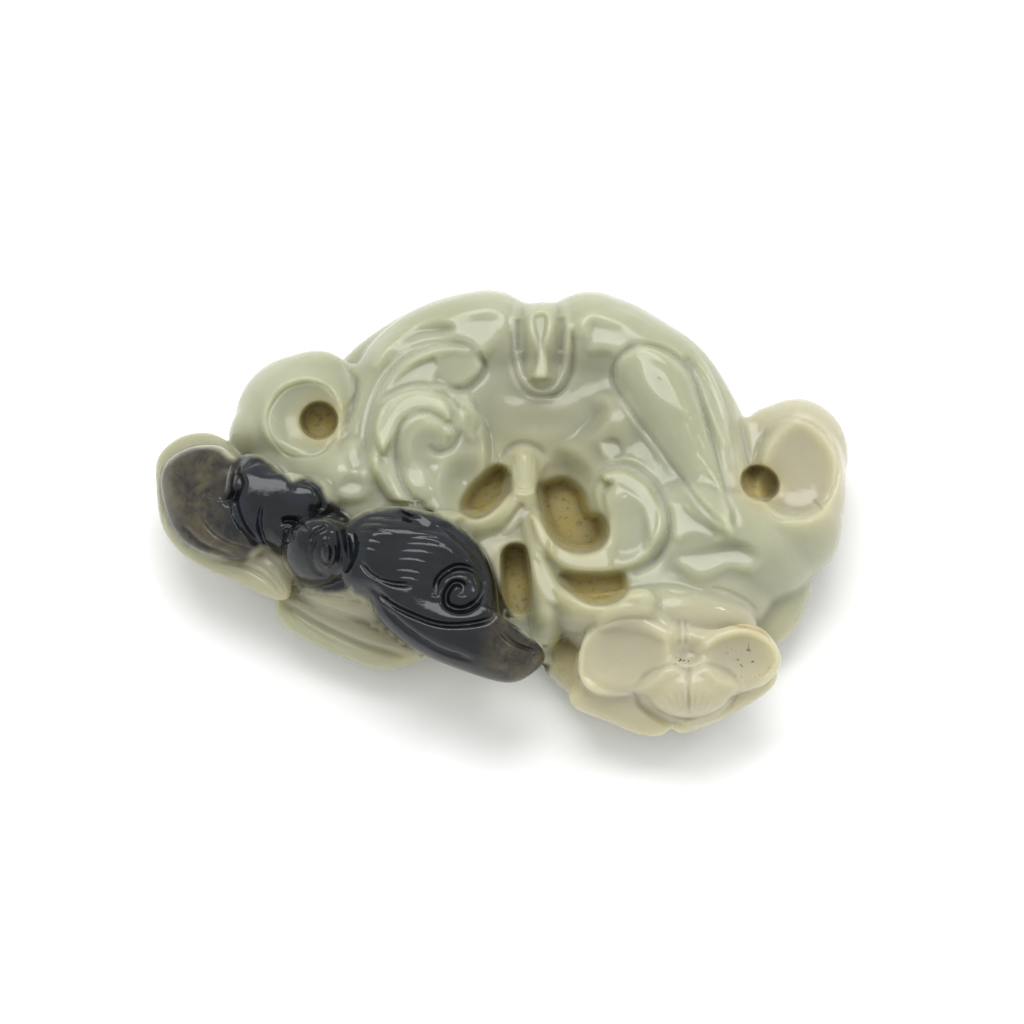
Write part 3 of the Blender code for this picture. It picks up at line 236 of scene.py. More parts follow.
def bat(bm):
    """A bat with its wings spread, lying over the near edge."""
    left_wing = [(-49.1, 2.9), (-48.6, 6.9), (-45.1, 9.0), (-41.0, 9.1), (-38.2, 7.2), (-37.0, 7.9),
        (-33.8, 7.5), (-30.3, 4.3), (-28.9, 4.8), (-26.6, 3.8), (-25.3, 1.2), (-26.3, -1.9),
        (-30.3, -6.4), (-33.8, -5.2), (-36.4, -6.9), (-41.5, -6.4), (-46.8, -3.2)]
    right_wing = [(-24.1, -4.8), (-21.2, -0.6), (-15.5, 0.6), (-9.0, -0.7), (-3.5, -4.3), (-0.9, -9.8),
        (0.0, -15.3), (2.6, -18.5), (6.2, -20.2), (5.1, -22.4), (1.3, -24.1), (-5.9, -22.1),
        (-13.2, -18.9), (-17.9, -14.9), (-19.4, -12.3), (-22.7, -10.4)]
    pad(bm, left_wing, 18, 6.0, rim=2.6, lean=(0.14, 0.05))
    ball(bm, (-26.0, -5.8, 20), (5.6, 4.4, 8.0))
    ball(bm, (-26.9, -4.9, 14), (8, 6, 7))
    ball(bm, (-28.0, 0.0, 16), (5.4, 4.6, 7.6))
    pad(bm, right_wing, 20, 6.6, rim=3.0, lean=(-0.05, 0.15))


def leaves(bm):
    """Two leaves below the bat."""
    left_leaf = [(-50.0, 3.9), (-49.6, 8.2), (-45.8, 11.1), (-40.5, 10.7), (-35.0, 4.6), (-30.6, -6.9),
        (-30.9, -12.7), (-37.9, -10.1), (-44.8, -6.9), (-48.8, -2.6)]
    near_leaf = [(-32.5, -12.4), (-29.2, -9.1), (-19.1, -10.5), (-9.0, -18.5), (-11.1, -21.0),
        (-17.3, -22.5), (-24.1, -20.1), (-31.4, -16.3)]
    pad(bm, left_leaf, 14, 3.2, rim=1.2, lean=(0.05, 0.0))
    pad(bm, near_leaf, 10, 3.2, rim=1.2, lean=(0.0, 0.15))
    ball(bm, (-20.5, -11.3, 11), (9, 6, 8))
    ball(bm, (-7.5, -14.2, 13), (9, 6, 9))


def skirt(bm):
    """The lower layer that shows behind the body at the right."""
    outline = [(33.7, -13.4), (38.7, -9.8), (43.4, -8.5), (44.8, -10.3), (43.9, -13.7), (42.1, -16.8),
        (39.3, -18.9), (34.4, -18.8)]
    pad(bm, outline, 8.5, 3.4, rim=1.5, lean=(0.0, 0.1), under=5.0)


def flower(bm):
    """Two open petals with a bud in front of them and two flat petals below."""
    open_petals = [(11.0, -23.4), (10.8, -20.7), (11.8, -17.6), (13.3, -15.5), (17.3, -14.7),
        (21.7, -15.2), (26.3, -16.5), (30.9, -17.2), (35.1, -16.3), (37.9, -17.2), (39.9, -20.2),
        (39.6, -22.3), (37.6, -24.4), (34.7, -25.3), (30.3, -27.2), (24.3, -27.5), (19.4, -26.0),
        (15.0, -26.0), (12.4, -25.4)]
    pad(bm, open_petals, 17, 3.6, rim=1.9, lean=(0.0, 0.22), under=7.0)
    ball(bm, (22.8, -16.3, 13), (14, 6, 8.0))
    ball(bm, (26.6, -25.4, 15.4), (6.2, 4.0, 3.9))
    pad(bm, [(10.0, -24.9), (14.2, -22.1), (25.7, -22.8), (24.1, -31.1), (19.9, -31.8), (14.9, -29.8),
        (10.0, -27.7)], 12, 2.6, rim=0.8, lean=(0.0, 0.35))
    pad(bm, [(24.4, -31.1), (24.3, -22.8), (34.4, -21.4), (39.3, -22.5), (38.7, -25.1), (34.4, -28.0),
        (29.3, -30.5)], 12, 2.6, rim=1.0, lean=(0.0, 0.35))
    ball(bm, (24.0, -25.7, 11), (10, 4.5, 6.5))
    ball(bm, (15.9, -22.4, 11), (5.6, 5, 7))


def remesh(mesh, grain, soften):
    """One skin of even facets round everything, softened over a width of about the root of soften."""
    holder = bpy.data.objects.new("clay", mesh)
    bpy.context.scene.collection.objects.link(holder)
    skin = holder.modifiers.new("skin", "REMESH")
    skin.mode = "VOXEL"
    skin.voxel_size = grain
    soft = holder.modifiers.new("soft", "SMOOTH")
    soft.factor = 0.5
    soft.iterations = max(1, round(soften / grain ** 2))
    evaluated = holder.evaluated_get(bpy.context.evaluated_depsgraph_get())
    result = bpy.data.meshes.new_from_object(evaluated)
    bpy.data.objects.remove(holder)
    bpy.data.meshes.remove(mesh)
    return result


def places(mesh):
    co = np.empty(len(mesh.vertices) * 3, np.float32)
    mesh.vertices.foreach_get("co", co)
    return co.reshape(-1, 3).astype(float)


def move(mesh, co):
    mesh.vertices.foreach_set("co", co.astype(np.float32).ravel())
    mesh.update()


class Skin:
    """The side of the mesh that shows from RISE, and the tools that cut into it."""

    def __init__(self, mesh, cell=1.3, slack=7.0):
        self.mesh = mesh
        self.co = places(mesh)
        normals = np.empty(len(self.co) * 3, np.float32)
        mesh.vertex_normals.foreach_get("vector", normals)
        self.x = self.co[:, 0]
        self.y = self.co[:, 1] * SIN + self.co[:, 2] * COS
        self.near = self.co @ TOWARDS
        column = np.floor((self.x - self.x.min()) / cell).astype(int)
        row = np.floor((self.y - self.y.min()) / cell).astype(int)
        top = np.full((column.max() + 1, row.max() + 1), -1e9)
        np.maximum.at(top, (column, row), self.near)
        front = np.clip((self.near - top[column, row] + slack) / 2, 0, 1)
        facing = np.clip((normals.reshape(-1, 3) @ TOWARDS + 0.5) / 0.4, 0, 1)
        self.shows = front * facing

    def press(self, pick, depth):
        self.co[pick] -= (depth * self.shows[pick])[:, None] * TOWARDS

    def beside(self, p, reach):
        """The points that show within reach of a run of points: how far off each is, and how far along."""
        run = np.concatenate([[0], np.cumsum(np.linalg.norm(np.diff(p, axis=0), axis=1))])
        low, high = p.min(0) - reach, p.max(0) + reach
        box = (self.x > low[0]) & (self.x < high[0]) & (self.y > low[1]) & (self.y < high[1])
        pick = np.nonzero(box & (self.shows > 0))[0]
        here = np.column_stack([self.x[pick], self.y[pick]])
        best = np.full(len(pick), 1e9)
        along = np.zeros(len(pick))
        for i, (a, b) in enumerate(zip(p, p[1:])):
            step = b - a
            t = np.clip((here - a) @ step / (step @ step + 1e-12), 0, 1)
            away = np.linalg.norm(here - a - t[:, None] * step, axis=1)
            closer = away < best
            best[closer] = away[closer]
            along[closer] = (run[i] + t[closer] * (run[i + 1] - run[i])) / run[-1]
        return pick, best, along

    def groove(self, path, width, depth, taper=0.15):
        """A line cut along the path; it fades in and out over the share taper of its length."""
        pick, best, along = self.beside(spline(path, 8), 2.5 * width)
        fade = 1.0
        if taper:
            fade = np.clip(np.minimum(along, 1 - along) / taper, 0, 1) ** 0.6
        self.press(pick, depth * fade * np.exp(-(best / width) ** 2))

    def roll(self, path, height, taper=0.1, round=0.7):
        """A rounded band raised along (x, y, half width) points."""
        p = spline(path, 8)
        pick, best, along = self.beside(p[:, :2], p[:, 2].max())
        run = np.concatenate([[0], np.cumsum(np.linalg.norm(np.diff(p[:, :2], axis=0), axis=1))])
        width = np.interp(along, run / run[-1], p[:, 2])
        fade = np.clip(np.minimum(along, 1 - along) / taper, 0, 1) ** 0.5 if taper else 1.0
        self.press(pick, -height * fade * np.clip(1 - (best / width) ** 2, 0, 1) ** round)

    def facet(self, outline, lean=0.0, edge=0.9):
        """A flat polished inside an outline, level or leaning down towards the viewer by lean degrees."""
        pick, share = self.inside(outline, edge)
        middle = np.average(self.co[pick], axis=0, weights=share * self.shows[pick] + 1e-9)
        flat = np.array((0, -math.sin(math.radians(lean)), math.cos(math.radians(lean))))
        self.press(pick, (self.co[pick] - middle) @ flat / (TOWARDS @ flat) * share)

    def lift(self, outline, height, edge):
        """A low plateau raised inside an outline, its slope as wide as edge."""
        pick, share = self.inside(outline, edge)
        self.press(pick, -height * share)

    def spot(self, at, radii, turn, depth, edge=None, power=1.0):
        """A round or oval hollow: a dish, or a hole with steep walls where edge is given."""
        phi = math.radians(turn)
        dx, dy = self.x - at[0], self.y - at[1]
        u = (dx * math.cos(phi) + dy * math.sin(phi)) / radii[0]
        v = (dy * math.cos(phi) - dx * math.sin(phi)) / radii[1]
        r = np.hypot(u, v)
        pick = np.nonzero((r < 1 + (edge or 0)) & (self.shows > 0))[0]
        if edge:
            shape = np.clip((1 + edge - r[pick]) / edge, 0, 1)
        else:
            shape = (1 - r[pick] ** 2) ** power
        self.press(pick, depth * shape)

    def inside(self, outline, edge):
        """The points that show inside an outline, and how far in they are, from 0 to 1 across its edge."""
        o = spline(outline, 6, closed=True)
        low, high = o.min(0) - edge, o.max(0) + edge
        box = (self.x > low[0]) & (self.x < high[0]) & (self.y > low[1]) & (self.y < high[1])
        pick = np.nonzero(box & (self.shows > 0))[0]
        here = np.column_stack([self.x[pick], self.y[pick]])
        within = np.zeros(len(pick), bool)
        away = np.full(len(pick), 1e9)
        for a, b in zip(o, np.roll(o, -1, axis=0)):
            step = b - a
            t = np.clip((here - a) @ step / (step @ step + 1e-12), 0, 1)
            away = np.minimum(away, np.linalg.norm(here - a - t[:, None] * step, axis=1))
            crosses = (a[1] > here[:, 1]) != (b[1] > here[:, 1])
            if step[1]:
                within ^= crosses & (here[:, 0] < a[0] + step[0] * (here[:, 1] - a[1]) / step[1])
        share = np.clip(0.5 + np.where(within, away, -away) / edge, 0, 1)
        return pick, share ** 2 * (3 - 2 * share)

    def sink(self, outline, floor, edge):
        """A pocket cut down to a floor at the height given, with walls as steep as edge is small."""
        pick, share = self.inside(outline, edge)
        bottom = (floor - self.y[pick] * COS) / SIN
        self.press(pick, np.maximum(0, self.near[pick] - bottom) * share)

    def done(self):
        move(self.mesh, self.co)
        return self.mesh


def bowl(skin):
    """The ground falls gently from the rim towards the middle."""
    skin.spot((5.6, 7.5), (17.5, 14.0), 0, 4.4, power=1.5)


def scroll_relief(skin):
    """The left scroll with the comma-shaped band over it, and the right scroll with its knuckle."""
    skin.lift([(-2.2, 10.4), (-3.5, 14.5), (-7.2, 15.9), (-10.1, 17.5), (-13.9, 17.8), (-17.1, 15.9),
        (-18.6, 12.7), (-18.8, 9.0), (-17.8, 5.2), (-15.6, 1.6), (-12.4, -1.0), (-8.1, -1.9), (-4.6, 0.0),
        (-2.9, 3.5), (-2.2, 7.2)], 1.5, 1.4)
    skin.roll([(-7.2, 14.2, 1.2), (-10.1, 15.6, 1.9), (-13.6, 15.0, 2.3), (-16.2, 12.7, 2.5),
        (-17.1, 9.2, 2.4), (-16.5, 5.8, 2.0), (-14.9, 2.5, 1.5), (-12.1, -0.1, 1.0)], 0.9, round=0.4)
    skin.spot((-10.7, 9.1), (2.6, 3.4), 0, 1.1)
    skin.spot((-7.2, 11.7), (1.4, 1.3), 0, -0.9)
    skin.spot((-12.1, 4.3), (2.4, 3.2), 20, -0.6)
    skin.roll([(-19.2, 4.0, 1.0), (-18.8, 9.7, 1.8), (-17.1, 14.7, 2.7), (-14.2, 18.6, 3.4),
        (-10.4, 20.8, 3.5), (-6.6, 21.0, 3.0), (-4.0, 20.4, 1.6)], 1.2, taper=0.3, round=0.4)
    skin.lift([(-9.5, 19.9), (-9.0, 22.5), (-6.8, 23.6), (-4.3, 23.0), (-2.6, 21.1), (-4.0, 18.9),
        (-6.1, 17.6), (-8.2, 17.9)], 0.8, 1.1)
    skin.lift([(-6.8, 16.8), (-5.2, 17.1), (-3.8, 15.8), (-3.2, 13.3), (-4.0, 10.4), (-5.6, 11.8),
        (-6.2, 14.7)], 0.8, 1.4)
    skin.lift([(9.1, 8.7), (9.4, 11.0), (11.7, 13.3), (14.7, 14.7), (17.6, 13.3), (19.4, 10.4),
        (19.9, 7.8), (15.9, 7.1), (12.7, 6.1), (10.1, 6.6)], 1.0, 3.6)
    skin.lift([(5.2, -0.3), (6.8, -3.2), (8.4, -5.2), (10.7, -5.8), (13.3, -5.6), (15.0, -4.0),
        (15.3, -1.2), (15.0, 2.9), (17.3, 4.9), (20.5, 3.5), (22.4, 0.0), (22.5, -3.5), (20.8, -6.4),
        (17.3, -8.2), (12.4, -9.0), (8.7, -8.1), (6.4, -5.8), (4.9, -2.6)], 1.3, 1.2)
    skin.roll([(13.9, 4.5, 1.0), (16.2, 5.3, 1.7), (19.4, 4.0, 2.1), (21.4, 1.0, 2.2), (22.1, -2.3, 1.6),
        (21.4, -4.8, 0.8)], 0.6, taper=0.2, round=0.4)
    skin.spot((17.6, 0.0), (3.2, 3.8), 10, 0.4, power=0.8)
    skin.lift([(13.2, 3.3), (14.2, 4.2), (15.2, 2.6), (15.5, 0.6), (14.7, -0.7), (13.6, 0.7)], 0.9, 0.9)


def petal_relief(skin):
    """The turned edges of the petals and the two halves of the bud."""
    skin.roll([(13.3, -15.9, 1.2), (17.3, -15.0, 1.9), (21.4, -15.6, 2.1), (24.6, -17.6, 1.4)], 0.8)
    skin.roll([(12.1, -17.3, 0.7), (11.1, -20.7, 0.7), (11.4, -24.0, 0.7), (14.7, -25.9, 0.6),
        (18.8, -25.7, 0.6)], 0.5)
    skin.roll([(27.5, -19.9, 0.6), (31.2, -17.8, 0.7), (35.1, -16.9, 0.7), (38.4, -18.5, 0.7),
        (39.6, -21.1, 0.7), (37.7, -24.1, 0.6), (34.1, -25.3, 0.6)], 0.5)
    for way in (-1, 1):
        skin.spot((26.6 + 2.9 * way, -24.9), (3.6, 4.0), 20 * way, -0.7, power=0.8)


def middle_relief(skin):
    """The teardrop, the tongue and the stem."""
    drop = [(16.2, 19.1), (16.6, 22.3), (19.5, 24.1), (22.1, 23.4), (24.9, 21.4), (26.7, 19.4),
        (28.3, 16.0), (29.5, 12.4), (30.5, 9.0), (31.8, 4.6), (32.9, 0.6), (32.7, -3.2), (29.0, -0.4),
        (26.9, 2.5), (24.9, 5.8), (22.1, 9.1), (19.4, 12.4), (17.3, 15.6)]
    skin.lift(drop, 1.2, 1.3)
    skin.lift(drop, 0.9, 6.0)
    skin.roll([(9.2, 26.3, 1.0), (14.2, 26.9, 2.6), (19.9, 26.0, 2.8), (25.1, 23.1, 2.4),
        (29.2, 18.2, 1.8), (31.8, 12.1, 1.4), (33.2, 6.4, 1.0)], 0.6)
    skin.lift([(2.2, 30.6), (9.1, 30.6), (9.7, 22.5), (8.4, 18.4), (6.2, 16.6), (3.8, 17.2), (1.7, 18.9),
        (1.4, 22.5)], 0.7, 1.0)
    skin.roll([(5.6, 31.2, 2.5), (5.6, 24.9, 2.3), (5.6, 19.1, 2.1)], 1.7, taper=0.03)
    skin.lift([(0.1, 7.2), (1.2, 9.1), (3.2, 10.0), (5.2, 9.2), (6.4, 7.2), (5.2, 4.3), (4.9, 2.6),
        (1.7, 2.6), (1.3, 4.6)], 0.8, 1.0)


def polish(skin):
    """Flats left by the polishing wheel: level ones catch the light, leaning ones stay dull."""
    for outline, lean, edge in (
            ([(-6.8, 28.0), (-3.9, 28.5), (-0.3, 28.3), (-0.4, 26.6), (-1.2, 24.6), (-2.7, 22.7),
             (-4.0, 23.4), (-5.6, 24.9), (-7.2, 26.0)], 1, 2.4),
            ([(-18.2, 21.1), (-17.5, 23.4), (-15.5, 25.4), (-12.9, 26.6), (-9.5, 27.2), (-7.4, 26.6),
             (-9.0, 25.6), (-11.7, 25.4), (-14.5, 24.1), (-16.8, 22.1)], 1, 2.0),
            ([(12.6, 27.5), (15.0, 27.3), (17.3, 26.3), (18.5, 24.4), (17.3, 23.0), (14.7, 23.4),
             (12.7, 23.7)], 1, 2.4),
            ([(-9.2, 22.3), (-6.8, 23.4), (-4.3, 22.8), (-2.7, 21.1), (-4.0, 19.2), (-6.4, 18.2),
             (-8.8, 18.6)], 15, 1.2),
            ([(-9.4, 22.0), (-9.8, 18.6), (-12.1, 18.8), (-14.9, 18.8), (-13.3, 20.8), (-11.3, 21.8)], 1,
             0.9),
            ([(-18.2, 11.6), (-17.1, 14.7), (-14.5, 16.8), (-10.7, 17.1), (-8.1, 15.3), (-7.5, 13.6),
             (-8.4, 13.3), (-10.7, 14.3), (-13.3, 14.0), (-14.7, 12.3), (-15.9, 10.3), (-17.2, 8.7)], 1,
             1.0),
            ([(-6.8, 16.6), (-5.2, 16.8), (-4.2, 15.6), (-4.0, 14.3), (-5.2, 14.6), (-6.5, 15.2)], 0,
             0.8),
            ([(-13.6, 5.8), (-12.1, 6.1), (-11.1, 4.9), (-11.8, 3.8), (-13.2, 4.0)], 0, 0.8),
            ([(-0.7, 16.8), (2.6, 15.8), (8.4, 15.8), (12.4, 17.1), (14.5, 14.5), (11.8, 11.0),
             (6.2, 9.5), (0.1, 10.4), (-2.0, 13.3)], 17, 3.0),
            ([(13.9, 9.8), (15.0, 10.4), (16.6, 10.3), (17.3, 8.8), (16.9, 7.9), (14.7, 7.9)], 0, 0.8),
            ([(15.8, 3.2), (18.4, 2.9), (20.5, 0.3), (21.1, -3.2), (19.9, -5.6), (17.1, -6.4),
             (15.5, -4.8), (15.3, -0.9)], 14, 2.0),
            ([(14.6, 5.6), (17.3, 6.1), (19.7, 4.6), (21.5, 2.6), (22.3, 0.3), (22.3, -2.0), (21.5, -3.6),
             (21.1, -2.7), (20.8, -0.1), (19.9, 1.6), (17.8, 3.3), (16.0, 4.2), (14.6, 4.6)], 1, 0.6),
            ([(7.4, -4.8), (8.8, -5.5), (10.7, -5.8), (13.0, -5.8), (14.7, -5.3), (15.5, -6.5),
             (15.3, -8.2), (12.3, -8.5), (9.5, -7.9), (7.8, -6.9)], 1, 0.7),
            ([(23.6, 1.3), (24.6, 1.6), (26.3, 0.3), (28.5, -1.3), (30.6, -2.7), (29.8, -3.5),
             (27.3, -2.9), (25.4, -3.9), (24.4, -3.0), (24.1, -0.9)], 0, 0.8),
            ([(20.2, 20.5), (21.7, 20.4), (23.3, 18.9), (24.9, 17.1), (26.6, 14.9), (26.2, 14.0),
             (24.0, 15.6), (22.1, 17.1), (20.8, 18.6)], 1, 1.8),
            ([(26.4, 22.3), (28.3, 22.0), (30.1, 19.5), (31.1, 16.8), (32.1, 14.0), (32.5, 9.8),
             (31.5, 11.3), (30.1, 14.7), (28.6, 17.5), (27.3, 20.2)], 0, 1.6),
            ([(28.3, 8.7), (29.2, 6.6), (30.9, 3.9), (32.5, 0.9), (32.8, -1.6), (33.7, -2.6),
             (34.7, -1.6), (33.7, 0.4), (31.9, 2.9), (30.2, 5.6)], 0, 0.7),
            ([(24.9, -7.1), (27.9, -5.8), (32.7, -4.5), (35.3, -5.1), (36.8, -6.6), (35.5, -8.1),
             (32.7, -7.8), (29.8, -9.1), (27.7, -9.2)], 0, 2.0),
            ([(-22.4, 9.5), (-21.1, 10.3), (-19.9, 8.7), (-20.1, 6.1), (-21.7, 5.6), (-22.4, 7.5)], 0,
             2.0),
            ([(-23.4, 4.0), (-21.7, 5.1), (-19.9, 4.3), (-19.9, 2.3), (-22.0, 1.7), (-23.6, 2.5)], 0,
             2.0),
            ([(4.5, 28.3), (6.4, 28.6), (6.5, 26.3), (5.9, 24.1), (6.6, 22.0), (6.5, 19.5), (4.6, 19.5),
             (5.1, 22.0), (5.2, 24.1), (4.6, 26.3)], 1, 0.6),
            ([(-18.8, -2.3), (-14.7, -1.7), (-9.0, -3.3), (-4.9, -6.9), (-2.9, -11.3), (-4.3, -14.5),
             (-10.4, -13.9), (-15.5, -11.3), (-18.8, -8.7), (-20.2, -5.2)], 17, 3.0),
            ([(42.3, 13.6), (46.2, 11.8), (48.6, 8.1), (48.3, 3.5), (45.2, 0.1), (41.3, -0.4),
             (38.4, 1.3), (37.0, 4.9), (37.9, 9.8)], 19, 2.0),
            ([(-28.5, 18.9), (-24.4, 17.6), (-23.0, 14.0), (-24.0, 10.4), (-27.5, 8.1), (-31.5, 9.0),
             (-34.0, 11.8), (-33.4, 16.2)], 5, 2.0),
            ([(2.7, 1.3), (3.3, 0.0), (1.9, -2.3), (0.0, -3.3), (0.7, -1.4)], 0, 0.6),
            ([(4.2, -0.6), (5.1, -1.0), (6.8, -4.0), (6.5, -5.3), (5.1, -3.6)], 0, 0.6),
            ([(4.2, -6.6), (5.3, -6.9), (7.2, -11.0), (8.1, -12.9), (6.4, -12.7), (4.9, -9.8)], 0, 0.6)):
        skin.facet(outline, lean, edge)


def hollows(skin):
    """The dished cups and petals, and the shallow oval under the tongue."""
    skin.spot((-28.5, 13.4), (5.5, 5.6), 0, 1.8, power=0.6)
    skin.spot((42.3, 6.6), (6.4, 7.2), 0, 2.4, power=0.6)
    skin.spot((5.5, 13.7), (5.2, 2.8), 0, 0.35, power=1.4)
    skin.spot((17.2, -20.8), (6.6, 5.0), 12, 2.0, power=0.9)
    skin.spot((34.1, -21.0), (5.4, 3.9), -8, 1.9, power=0.9)
    skin.spot((26.6, -19.9), (3.2, 2.4), 0, 1.4, power=1.3)
    skin.spot((-5.2, 4.0), (4.2, 5.2), -25, 2.6, power=2.0)
    skin.spot((9.4, 5.2), (4.0, 4.8), 20, 2.6, power=2.0)


def pockets(skin):
    """The four openings between the stems."""
    for outline, floor, edge in POCKETS:
        skin.sink(outline, floor, edge)


def drilled(skin):
    """The two round holes in the cups."""
    skin.spot((-26.4, 13.2), (DRILL, DRILL), 0, DRILL_DEEP, edge=0.2)
    skin.spot((37.1, 4.2), (DRILL * 1.05, DRILL * 0.9), -30, DRILL_DEEP, edge=0.2)


def scroll_lines(skin):
    """The bold cuts round the scrolls, the teardrop and the cups."""
    cut = skin.groove
    cut([(-3.9, 23.8), (-8.2, 24.4), (-12.6, 23.1), (-16.2, 20.2), (-18.6, 16.2), (-19.7, 11.8),
        (-19.8, 7.5), (-18.8, 3.5)], 0.6, 0.8, taper=0.3)
    cut([(-18.1, 11.8), (-15.8, 15.9), (-13.0, 17.5), (-9.2, 17.2), (-6.8, 15.8), (-5.8, 13.3)], 0.5, 0.8)
    cut([(-7.9, -1.2), (-10.8, 0.1), (-13.7, 3.0), (-15.0, 6.2), (-15.2, 9.8), (-14.2, 13.0),
        (-11.3, 14.3), (-8.1, 13.3), (-6.4, 11.4), (-7.2, 9.4), (-9.2, 8.7), (-10.7, 9.5)], 0.55, 1.0,
        taper=0.08)
    cut([(-3.5, 23.1), (-2.6, 21.0), (-4.0, 18.9), (-5.9, 17.9), (-7.9, 18.2)], 0.55, 0.9)
    cut([(-6.8, 16.8), (-4.3, 15.9), (-3.2, 13.6), (-3.8, 11.0)], 0.5, 0.7)
    cut([(31.8, -2.3), (28.6, 1.0), (25.4, 5.5), (21.7, 10.4), (18.5, 14.7), (16.2, 18.8), (16.6, 22.0),
        (19.5, 24.0), (23.7, 23.4), (27.2, 20.2), (28.8, 15.9), (30.2, 10.4), (31.8, 3.9), (33.1, -1.7)],
        0.5, 0.9, taper=0.05)
    cut([(27.5, 21.7), (30.3, 17.3), (32.1, 11.8), (33.2, 6.1)], 0.6, 0.6)
    cut([(13.9, 6.1), (17.9, 6.9), (21.4, 4.6), (23.7, 0.3), (23.8, -3.8), (21.8, -6.9), (18.5, -8.8)],
        0.6, 1.0)
    cut([(-22.7, 21.7), (-21.0, 18.4), (-21.7, 15.0), (-23.1, 11.8)], 0.6, 1.0)
    cut([(34.0, 15.9), (35.0, 10.4), (35.8, 6.1), (36.8, 1.4)], 0.6, 0.8)


def tongue_lines(skin):
    cut = skin.groove
    cut([(1.4, 26.3), (1.6, 22.0), (2.2, 19.1), (3.8, 17.3), (5.8, 16.8), (8.1, 17.3), (9.8, 19.4),
        (10.3, 22.7), (10.1, 26.3)], 0.4, 0.7, taper=0.05)
    cut([(3.0, 23.1), (3.3, 20.2), (4.5, 18.5), (5.9, 17.9), (7.7, 18.8), (8.4, 21.1), (8.5, 23.4)], 0.35,
        0.5)
    cut([(2.3, 28.0), (2.3, 25.7), (2.3, 23.1)], 0.5, 0.8, taper=0.1)
    cut([(8.7, 28.3), (8.7, 25.7), (8.5, 23.1)], 0.5, 0.8, taper=0.1)
    cut([(0.1, 7.1), (0.9, 9.0), (3.0, 9.8), (5.5, 9.0), (6.5, 7.1)], 0.5, 0.7)


def flower_lines(skin):
    cut = skin.groove
    cut([(14.9, -26.0), (18.5, -25.7), (19.9, -27.7), (22.8, -29.8), (26.6, -30.8)], 0.5, 0.7, taper=0.1)
    cut([(26.6, -30.8), (30.1, -29.9), (32.9, -27.6), (34.1, -25.4), (38.0, -24.3)], 0.5, 0.7, taper=0.1)
    cut([(26.6, -22.0), (26.6, -25.4), (26.7, -29.5)], 0.32, 0.45)
    cut([(18.8, -25.4), (20.8, -23.1), (24.0, -21.8), (26.6, -22.5), (29.5, -21.7), (32.7, -23.1),
        (34.1, -25.1)], 0.4, 0.55)


def bat_lines(skin):
    """The scallops, folds and curl of the wings, and the face."""
    cut = skin.groove
    cut([(-36.6, 8.7), (-37.9, 6.4), (-38.4, 3.2), (-37.9, 0.0), (-36.7, -2.6), (-34.7, -4.8)], 0.55, 0.9,
        taper=0.1)
    cut([(-37.7, 5.6), (-37.4, 3.9), (-38.4, 2.2), (-40.0, 1.3)], 0.5, 0.9, taper=0.2)
    cut([(-29.8, 4.0), (-28.3, 4.3), (-26.6, 3.3), (-25.7, 1.4), (-26.6, -0.6)], 0.4, 0.6)
    cut([(-31.6, -1.3), (-29.8, -1.3), (-27.6, -2.6)], 0.4, 0.8)
    cut([(-26.3, -3.3), (-27.2, -5.8), (-26.6, -8.1), (-24.9, -9.2)], 0.4, 0.6)
    cut([(-22.7, -2.6), (-22.0, -4.5), (-21.8, -6.9), (-22.3, -8.7)], 0.4, 0.6)
    cut([(-20.4, -6.9), (-18.4, -9.0), (-15.8, -10.1), (-12.6, -10.4)], 0.4, 0.6)
    cut([(-18.8, -10.5), (-15.9, -13.0), (-12.6, -14.7), (-9.0, -15.9), (-5.3, -16.0), (-2.0, -15.3),
        (-0.9, -13.9)], 0.45, 0.8)
    cut([(-17.1, -13.2), (-13.7, -16.5), (-9.0, -19.5), (-3.9, -21.2)], 0.4, 0.6)
    cut([(-9.5, -12.1), (-9.0, -9.5), (-6.5, -7.8), (-4.0, -8.4), (-2.7, -10.4), (-3.5, -12.7),
        (-5.6, -13.9), (-7.7, -13.3), (-7.9, -11.6), (-6.8, -10.1), (-5.5, -10.5), (-5.8, -12.0)], 0.5,
        0.9, taper=0.08)
    cut([(-0.3, -16.5), (1.2, -18.2), (3.2, -19.4), (5.2, -19.9)], 0.4, 0.45)
    for x, y, rx, ry in ((-30.8, -3.2, 0.75, 1.1), (-25.0, -5.8, 0.85, 1.5)):
        skin.spot((x, y), (rx * 1.6, ry * 1.5), 0, -0.9, power=0.8)
        turns = np.linspace(0, 2 * math.pi, 9)
        cut([(x + rx * math.cos(a), y + ry * math.sin(a)) for a in turns], 0.28, 0.5, taper=0)


def leaf_lines(skin):
    cut = skin.groove
    cut([(-31.1, -12.3), (-33.5, -9.8), (-37.1, -7.8), (-41.5, -6.9)], 0.35, 0.5)
    cut([(-31.8, -12.7), (-28.5, -14.9), (-24.1, -17.3), (-19.1, -19.4), (-13.6, -20.8)], 0.5, 0.8)
    cut([(-30.6, -11.6), (-27.0, -13.3), (-22.7, -14.7), (-17.6, -16.8), (-13.3, -19.1)], 0.35, 0.4)


def underside(mesh):
    """Rounds the unseen side off like the pebble it was, with three shallow growth rings."""
    co = places(mesh)
    away = np.hypot((co[:, 0] - BELLY[0]) / 46, (co[:, 1] - BELLY[1]) / 30)
    floor = BELLY_DEPTH + BELLY_RISE * np.clip(away, 0, 1) ** 2.4
    for ring in (0.52, 0.68, 0.84):
        floor += 0.5 * np.exp(-((away - ring) / 0.022) ** 2)
    co[:, 2] = np.where(co[:, 2] < floor, floor, co[:, 2])
    move(mesh, co)
    return mesh


